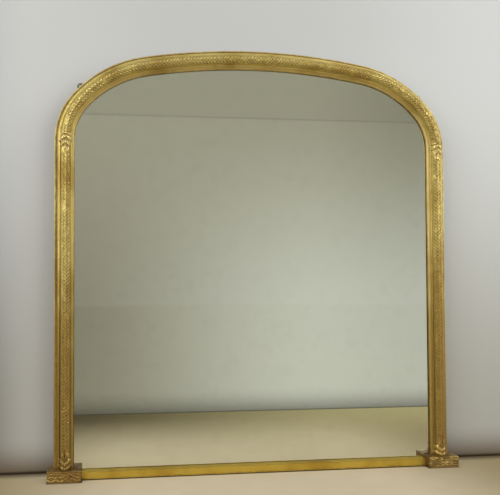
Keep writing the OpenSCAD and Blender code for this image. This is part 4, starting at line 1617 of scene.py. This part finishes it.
@dataclass(frozen=True)
class Back:
    """Carcase, boards, glazing blocks, plates and fasteners behind the gilding."""

    arch: Arch
    # Each part of the carcase, the turn of its grain, and whether it comes in pairs
    grain: tuple = (("stile", 0.0, True), ("shoulder", 21.0, True), ("haunch", 61.0, True),
                    ("crown", 90.0, False), ("rail", 90.0, False))
    part_shift: float = 0.31
    board_shift: float = 0.83
    boards: int = 6
    board_pale: Colour = srgb(172, 136, 94)
    board_dark: Colour = srgb(122, 88, 56)
    board_tone: float = 0.11
    board_age: float = 0.6
    plate_turn: float = 47.0
    plate_mid_u: float = 56.5
    plate_spread: float = 15.0
    plate_d: float = 5.0
    plate_screw_len: float = 16.0
    foot_screw_gap: float = 28.0
    foot_screw_z: float = 31.0
    foot_screw_d: float = 7.0
    foot_screw_len: float = 38.0
    mid_u: float = 38.5

    def dress(self, node: str, material: Material) -> None:
        """Gives a CAD node its material."""
        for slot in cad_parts[node].material_slots:
            slot.material = material
        LOG.info("%s: CAD node dressed", node)

    def screws(self, node: str, places: list[Pair], d: float, length: float,
               material: Material) -> None:
        """Makes all the screws of one node as one piece.

        Args:
            node: the CAD node that they stand for.
            places: (x, z) of each screw.
            d: depth of their faces.
            length: length of each.
            material: their finish.
        """
        screw, tubes = Screw(), []
        for k, place in enumerate(places):
            rings = screw.rings(place, d, length, 0.7 + 1.9 * k)
            rings[..., 1] += self.arch.wall_y
            tubes.append(Tube(rings))
        piece = make_mesh(f"{node}_slotted", tubes, screw.sharp,
                          [tube.hollow(*screw.hollows) for tube in tubes])
        install(piece, node, material)

    def dress_wood(self) -> None:
        """Dresses the carcase, the glazing blocks and the boards in pine of many tones."""
        group = OldPine().build()
        for k, (part, turn, paired) in enumerate(self.grain):
            for side in Side if paired else (Side.LEFT,):
                ending = f"_{side.word}" if paired else ""
                shift = self.part_shift * (2 * k + (1 if side is Side.LEFT else 2))
                pine = Pine(f"pine_{part}{ending}", side.value * turn, shift)
                self.dress(f"carcase_{part}{ending}", pine.build(group))
        self.dress("glazing_blocks", Pine("pine_blocks", 0.0, 2.2, age=0.2).build(group))
        for k in range(1, self.boards + 1):
            tone = 1 - self.board_tone * (k * 5 % 4)
            pale = (*(c * tone for c in self.board_pale[:3]), 1.0)
            board = Pine(f"pine_board_{k}", shift=self.board_shift * k, pale=pale,
                         dark=self.board_dark, age=self.board_age)
            self.dress(f"backboard_{k}", board.build(group))

    def plate_screw_places(self) -> list[Pair]:
        """Places of the screws in the hanging plates, on the line of each plate.

        Returns:
            (x, z) of each, first on the left.
        """
        a = math.radians(self.plate_turn - 90)
        r = self.arch.haunch_r + self.plate_mid_u
        cx, cz = self.arch.haunch_c
        spots = [(cx + math.cos(a) * along - math.sin(a) * r,
                  cz + math.sin(a) * along + math.cos(a) * r)
                 for along in (-self.plate_spread, self.plate_spread)]
        return [(side.value * x, z) for side in Side for x, z in spots]

    def build(self) -> None:
        """Dresses the nodes of the back, and makes the screws and the glass."""
        self.dress_wood()
        iron = DarkMetal("plate_iron", srgb(112, 110, 98), srgb(84, 66, 50), -0.04).build()
        steel = DarkMetal("fastener_steel", srgb(104, 98, 90), srgb(92, 62, 44), 0.04).build()
        for node, metal in (("hanging_plate_left", iron), ("hanging_plate_right", iron),
                            ("backboard_nails", steel), ("lap_screws", steel)):
            self.dress(node, metal)
        self.screws("plate_screws", self.plate_screw_places(), self.plate_d,
                    self.plate_screw_len, steel)
        places = [(side.value * (self.arch.half_w + self.mid_u + k * self.foot_screw_gap),
                   self.foot_screw_z) for side in Side for k in (-0.5, 0.5)]
        self.screws("foot_screws", places, self.foot_screw_d, self.foot_screw_len, steel)

        plate = Plate()
        film = Pane(self.arch, back_d=24.6, front_d=25.03, inset=0.3, arris=0.05)
        install(Pane(self.arch).build("pane_ground_edge"), "glass_plate", plate.glass())
        install(film.build("silver_film"), "silvering", plate.silvering())


# ------------------------------------------------------------------------ stage


@dataclass(frozen=True)
class Lamp:
    """Square soft lamp."""

    name: str
    place: tuple[float, float, float]
    size: float
    power: float
    colour: tuple = (1.0, 0.995, 0.98)

    def build(self, aim: tuple[float, float, float]) -> None:
        """Hangs the lamp and turns it towards the aim.

        Args:
            aim: point in the middle of its beam.
        """
        lamp = bpy.data.lights.new(self.name, "AREA")
        lamp.shape = "SQUARE"
        lamp.size = self.size
        lamp.energy = self.power
        lamp.color = self.colour
        lamp.cycles.use_multiple_importance_sampling = False
        holder = bpy.data.objects.new(self.name, lamp)
        bpy.context.scene.collection.objects.link(holder)
        turn = (Vector(aim) - Vector(self.place)).to_track_quat("-Z", "Y")
        holder.matrix_world = Matrix.Translation(self.place) @ turn.to_matrix().to_4x4()


@dataclass(frozen=True)
class Viewpoint:
    """Camera at the photograph's viewing angle, from the outline of the frame.

    Lengths in the picture are in pixels of the photograph, and angles in radians.
    """

    place: tuple = (-0.54925, -2.1377, 0.69354)
    yaw: float = 0.11879
    pitch: float = 0.02584
    roll: float = -0.00235
    focal: float = 600.0
    middle: Pair = (177.456, 264.648)
    picture: Pair = (500, 495)
    sensor: float = 36.0
    clip_end: float = 60.0

    def build(self) -> None:
        """Sets up the camera."""
        cy, sy, cp, sp = (turn(a) for a in (self.yaw, self.pitch) for turn in (math.cos, math.sin))
        ahead = Vector((sy * cp, cy * cp, sp))
        right = Vector((cy, -sy, 0.0))
        up = right.cross(ahead)
        cr, sr = math.cos(self.roll), math.sin(self.roll)
        right, up = cr * right + sr * up, -sr * right + cr * up
        width, height = self.picture
        data = bpy.data.cameras.new("camera")
        data.sensor_fit = "HORIZONTAL"
        data.sensor_width = self.sensor
        data.lens = self.focal / width * self.sensor
        data.shift_x = (width / 2 - self.middle[0]) / width
        data.shift_y = (self.middle[1] - height / 2) / width
        data.clip_end = self.clip_end
        holder = bpy.data.objects.new("camera", data)
        bpy.context.scene.collection.objects.link(holder)
        turn = Matrix((right, up, -ahead)).transposed().to_4x4()
        holder.matrix_world = Matrix.Translation(self.place) @ turn
        bpy.context.scene.camera = holder


@dataclass(frozen=True)
class FloorPaint:
    """Finish of the floor: pale and matt, with a faint mottle and painted light and shade: a
    painted pool of light near the middle, painted shade towards the far left, and painted
    shadow in the corner at the wall and under the mirror.

    A span is the two ends of a ramp, along x or y where its name says so.
    """

    # Painted shade towards the far side on the left, lighter on the right, and a painted pool of
    # light in the middle near the mirror, darker to its sides
    shaded_far_left: Colour = srgb(70, 56, 22)
    away_right: Colour = srgb(184, 172, 126)
    lit_near_middle: Colour = srgb(233, 217, 186)
    shaded_near_sides: Colour = srgb(160, 145, 106)
    spot: Colour = srgb(150, 134, 100)
    shade: Colour = srgb(52, 42, 26)
    away_x: Pair = (-0.9, 0.9)
    middle_x: float = -0.02
    sides_x: Pair = (0.40, 0.98)
    near_y: Pair = (-0.95, -0.12)
    mottle: tuple = (9.0, 5.0)
    mottle_share: tuple = (0.3, 0.7, 0.0, 0.06)
    # Painted shade in the corner at the wall, and painted shadow in front of and under the rail
    # and the feet
    corner_y: Pair = (0.058, 0.0)
    corner_shade_share: float = 0.75
    under_shadow_share: float = 0.9
    rail_front_y: Pair = (-0.019, -0.012)
    feet_front_y: Pair = (-0.045, -0.038)
    feet_inner_x: Pair = (0.626, 0.634)
    feet_outer_x: Pair = (0.754, 0.748)
    rough: float = 0.85
    gloss: float = 0.2

    def build(self, wall_y: float) -> Material:
        """Makes the material, with painted shadow under the mirror and painted shade in the corner
        at the wall.

        Args:
            wall_y: place of the wall behind the mirror.

        Returns:
            The material.
        """
        material, s, shader = new_material("pale_floor")
        spot = s.place()
        x, y, _ = s.parts(spot)
        aside = s.size(x)
        # Painted light and shade: darker towards the far left, and a painted pool of light in the
        # middle near the mirror
        away = s.mix(s.ramp(x, *self.away_x), self.shaded_far_left, self.away_right)
        near = s.mix(s.ramp(s.size(s.less(x, self.middle_x)), *self.sides_x),
                     self.lit_near_middle, self.shaded_near_sides)
        colour = s.mix(s.ramp(y, *self.near_y), away, near)
        mottle = s.ramp(s.noise(spot, *self.mottle), *self.mottle_share)
        colour = s.mix(mottle, colour, self.spot)
        # Painted shade in the corner at the wall, and painted shadow under and in front of the
        # rail and the feet
        corner = s.times(s.ramp(s.size(s.less(y, wall_y)), *self.corner_y), self.corner_shade_share)
        feet = s.times(s.ramp(aside, *self.feet_inner_x), s.ramp(y, *self.feet_front_y))
        under = s.times(s.ramp(aside, *self.feet_outer_x),
                        s.most(feet, s.ramp(y, *self.rail_front_y)))
        dark = s.most(corner, s.times(under, self.under_shadow_share))
        s.feed(shader, {"Base Color": s.mix(dark, colour, self.shade), "Roughness": self.rough,
                        "Specular IOR Level": self.gloss})
        return material


@dataclass(frozen=True)
class WallPaint:
    """Finish of the wall behind the mirror: pale, with painted light and shade: lighter
    high up and to the right, painted shade high up in the middle, towards the floor and in
    the corner at the floor, and a painted lighter wash that fades out at the far left.

    A span is the two ends of a ramp, along x or z as its name says, and a wash ends
    with its share.
    """

    # Painted light: darker low down and on the left, lighter high up and on the right
    left: tuple[Colour, Colour] = (srgb(134, 132, 124), srgb(213, 217, 220))
    right: tuple[Colour, Colour] = (srgb(120, 120, 115), srgb(224, 232, 244))
    up_z: Pair = (0.1, 1.35)
    across_x: Pair = (-1.1, 1.1)
    # Painted shade high up in the middle
    middle: Colour = srgb(170, 171, 168)
    middle_x: Pair = (1.0, 0.2)
    middle_z: Pair = (1.3, 1.7)
    middle_share: float = 0.2
    # Painted light: a pale wash over the wall, fading out towards the far left, against the
    # frame's shadow
    painted_light: Colour = srgb(240, 240, 234)
    painted_light_x: tuple = (-1.02, -0.80, 0.0, 0.50)
    # Painted shade towards the floor, and darker still in the corner at the floor
    low: Colour = srgb(103, 81, 48)
    low_z: tuple = (0.13, -0.05, 0.0, 1.12)
    corner_shade: Colour = srgb(34, 26, 14)
    corner_shade_z: tuple = (0.014, 0.004, 0.0, 0.8)
    rough: float = 0.9
    gloss: float = 0.1

    def build(self) -> Material:
        """Makes the material, clear where it is seen from behind.

        Returns:
            The material.
        """
        material, s, shader = new_material("pale_wall")
        x, _, z = s.parts(s.place())
        up = s.ramp(z, *self.up_z)
        # Painted light: lighter high up and to the right
        tone = s.mix(s.ramp(x, *self.across_x), s.mix(up, *self.left), s.mix(up, *self.right))
        # Painted light: a pale wash that fades out towards the far left
        tone = s.mix(s.ramp(x, *self.painted_light_x), tone, self.painted_light)
        # Painted shade high up in the middle
        middle = s.times(s.ramp(s.size(x), *self.middle_x), s.ramp(z, *self.middle_z))
        tone = s.mix(s.times(middle, self.middle_share), tone, self.middle)
        # Painted shade towards the floor and in the corner at the floor
        tone = s.mix(s.ramp(z, *self.low_z), tone, self.low)
        tone = s.mix(s.ramp(z, *self.corner_shade_z), tone, self.corner_shade)
        s.feed(shader, {"Base Color": tone, "Roughness": self.rough,
                        "Specular IOR Level": self.gloss})
        behind = s.add("NewGeometry").outputs["Backfacing"]
        both = s.add("MixShader", {0: behind, 1: shader.outputs[0],
                                   2: s.add("BsdfTransparent").outputs[0]})
        s.feed(material.node_tree.nodes["Material Output"], {"Surface": both.outputs[0]})
        return material


@dataclass(frozen=True)
class FarPaint:
    """Finish of the far wall: what the glass shows, as light of its own."""

    high: tuple[Colour, Colour] = ((0.350, 0.332, 0.250, 1), (0.248, 0.235, 0.165, 1))
    low: tuple[Colour, Colour] = ((0.248, 0.225, 0.167, 1), (0.640, 0.640, 0.588, 1))
    edge_x: Pair = (0.45, 1.25)
    edge_share: float = 0.13
    low_x: Pair = (-0.9, 0.7)
    low_z: Pair = (1.65, 0.45)
    dark: Colour = (0.02, 0.015, 0.004, 1)
    line_z: float = 1.56
    line_half: float = 0.004
    above_share: float = 0.08
    mark: tuple = (0.009, 0.002, 0.0, 0.24)
    foot_z: Pair = (0.13, -0.08)
    corner_shade_z: tuple = (0.012, 0.004, 0.0, 0.85)
    again: Colour = (0.80, 0.80, 0.78, 1)

    def build(self) -> Material:
        """Makes the material, with one pale tone for light that glanced twice.

        Returns:
            The material.
        """
        material, s, _ = new_material("far_wall")
        x, _, z = s.parts(s.place())
        edge = s.ramp(x, *self.edge_x)
        low = s.mix(s.ramp(x, *self.low_x), *self.low)
        low = s.mix(s.times(edge, self.edge_share), low, grey(0.0))
        tone = s.mix(s.ramp(z, *self.low_z), s.mix(edge, *self.high), low)
        above = s.ramp(z, self.line_z - self.line_half, self.line_z + self.line_half, 0.0,
                       self.above_share)
        mark = s.ramp(s.size(s.less(z, self.line_z)), *self.mark)
        # Darker: a line high up and a little above it, and painted shade towards the floor and in
        # the corner of the room that the glass shows
        dark = s.most(above, mark, s.ramp(z, *self.foot_z), s.ramp(z, *self.corner_shade_z))
        tone = s.mix(dark, tone, self.dark)
        twice = s.math("GREATER_THAN", s.add("LightPath").outputs["Glossy Depth"], 1.5)
        painted_light = s.add("Emission", {"Color": s.mix(twice, tone, self.again), "Strength": 1.0})
        s.feed(material.node_tree.nodes["Material Output"], {"Surface": painted_light.outputs[0]})
        return material


@dataclass(frozen=True)
class Room:
    """Light of the whole room, which the camera sees as a plain backdrop.

    Light that a shiny surface sends forwards sees a band that is pale at the middle
    of its height, light to the sides sees one tone, and dull surfaces another.
    """

    backdrop: Colour = srgb(200, 200, 193)
    dull: Colour = grey(0.56)
    sides: Colour = (0.80, 0.80, 0.79, 1)
    below: Colour = (0.44, 0.43, 0.42, 1)
    band: Colour = (0.77, 0.77, 0.76, 1)
    above: Colour = (0.36, 0.36, 0.35, 1)
    sides_x: Pair = (0.45, 0.95)
    band_z: Pair = (-0.30, 0.22)
    above_z: Pair = (0.32, 0.62)

    def build(self) -> None:
        """Makes the world and gives it to the scene."""
        world = bpy.data.worlds.new("pale_room")
        world.use_nodes = True
        bpy.context.scene.world = world
        s = Sheet(world.node_tree)
        path = s.add("LightPath").outputs
        seen = s.most(path["Is Camera Ray"], path["Is Transmission Ray"])
        x, _, z = s.parts(s.add("TexCoord").outputs["Generated"])
        ahead = s.mix(s.ramp(z, *self.band_z), self.below, self.band)
        ahead = s.mix(s.ramp(z, *self.above_z), ahead, self.above)
        ahead = s.mix(path["Is Glossy Ray"], self.dull, ahead)
        room = s.mix(s.ramp(s.size(x), *self.sides_x), ahead, self.sides)
        s.feed(world.node_tree.nodes["Background"],
               {"Color": s.mix(seen, room, self.backdrop), "Strength": 1.0})


@dataclass(frozen=True)
class Stage:
    """Floor, the wall behind, a far wall for the glass to show, lamps and camera."""

    wall_y: float = 0.0785
    half_w: float = 9.0
    height: float = 7.0
    floor_reach: float = 14.0
    card_y: float = -0.965
    card_turn: float = -0.73
    aim: tuple = (0.0, 0.0, 0.75)
    lamps: tuple = (Lamp("key_right", (2.8, -2.4, 2.3), 3.6, 47.0),
                    Lamp("fill_left", (-3.0, -2.3, 2.1), 3.6, 56.0))

    def sheet_of(self, name: str, corners: list[tuple], material: Material) -> Piece:
        """Makes one four-cornered stage surface, facing the way that its corners turn.

        Args:
            name: its name.
            corners: its corners, in metres.
            material: its finish.

        Returns:
            The new object.
        """
        me = bpy.data.meshes.new(name)
        me.from_pydata(corners, [], [(0, 1, 2, 3)])
        me.materials.append(material)
        piece = bpy.data.objects.new(name, me)
        bpy.context.scene.collection.objects.link(piece)
        return piece

    def upright(self, name: str, dx: float, dy: float, y: float, material: Material) -> Piece:
        """Makes a wall from its left end to its right end, as seen from the side it faces.

        Args:
            name: its name.
            dx, dy: half of the way from its left end to its right end.
            y: place of its middle.
            material: its finish.

        Returns:
            The new object.
        """
        h = self.height
        return self.sheet_of(name, [(-dx, y - dy, 0), (dx, y + dy, 0),
                                    (dx, y + dy, h), (-dx, y - dy, h)], material)

    def build(self) -> None:
        """Sets the camera, the floor, the two walls, the lamps and the room's light."""
        Viewpoint().build()
        r = self.floor_reach
        self.sheet_of("floor", [(-r, -r, 0), (r, -r, 0), (r, r, 0), (-r, r, 0)],
                      FloorPaint().build(self.wall_y))

        wall = self.upright("wall", self.half_w, 0.0, self.wall_y, WallPaint().build())
        wall.visible_diffuse = False
        wall.visible_shadow = False

        a = math.radians(self.card_turn)
        dx, dy = self.half_w * math.cos(a), self.half_w * math.sin(a)
        card = self.upright("far_wall", -dx, dy, self.card_y, FarPaint().build())
        card.visible_camera = False
        card.visible_diffuse = False
        card.visible_glossy = False
        card.visible_shadow = False

        for lamp in self.lamps:
            lamp.build(self.aim)
        Room().build()
        bpy.context.scene.view_settings.view_transform = "Standard"


def main() -> None:
    """Builds the looks in order."""
    logging.basicConfig(level=logging.INFO, format="%(message)s")
    Stage().build()
    arch = Arch()
    GiltFrame(arch).build()
    Back(arch).build()


if __name__ == "__main__":
    main()
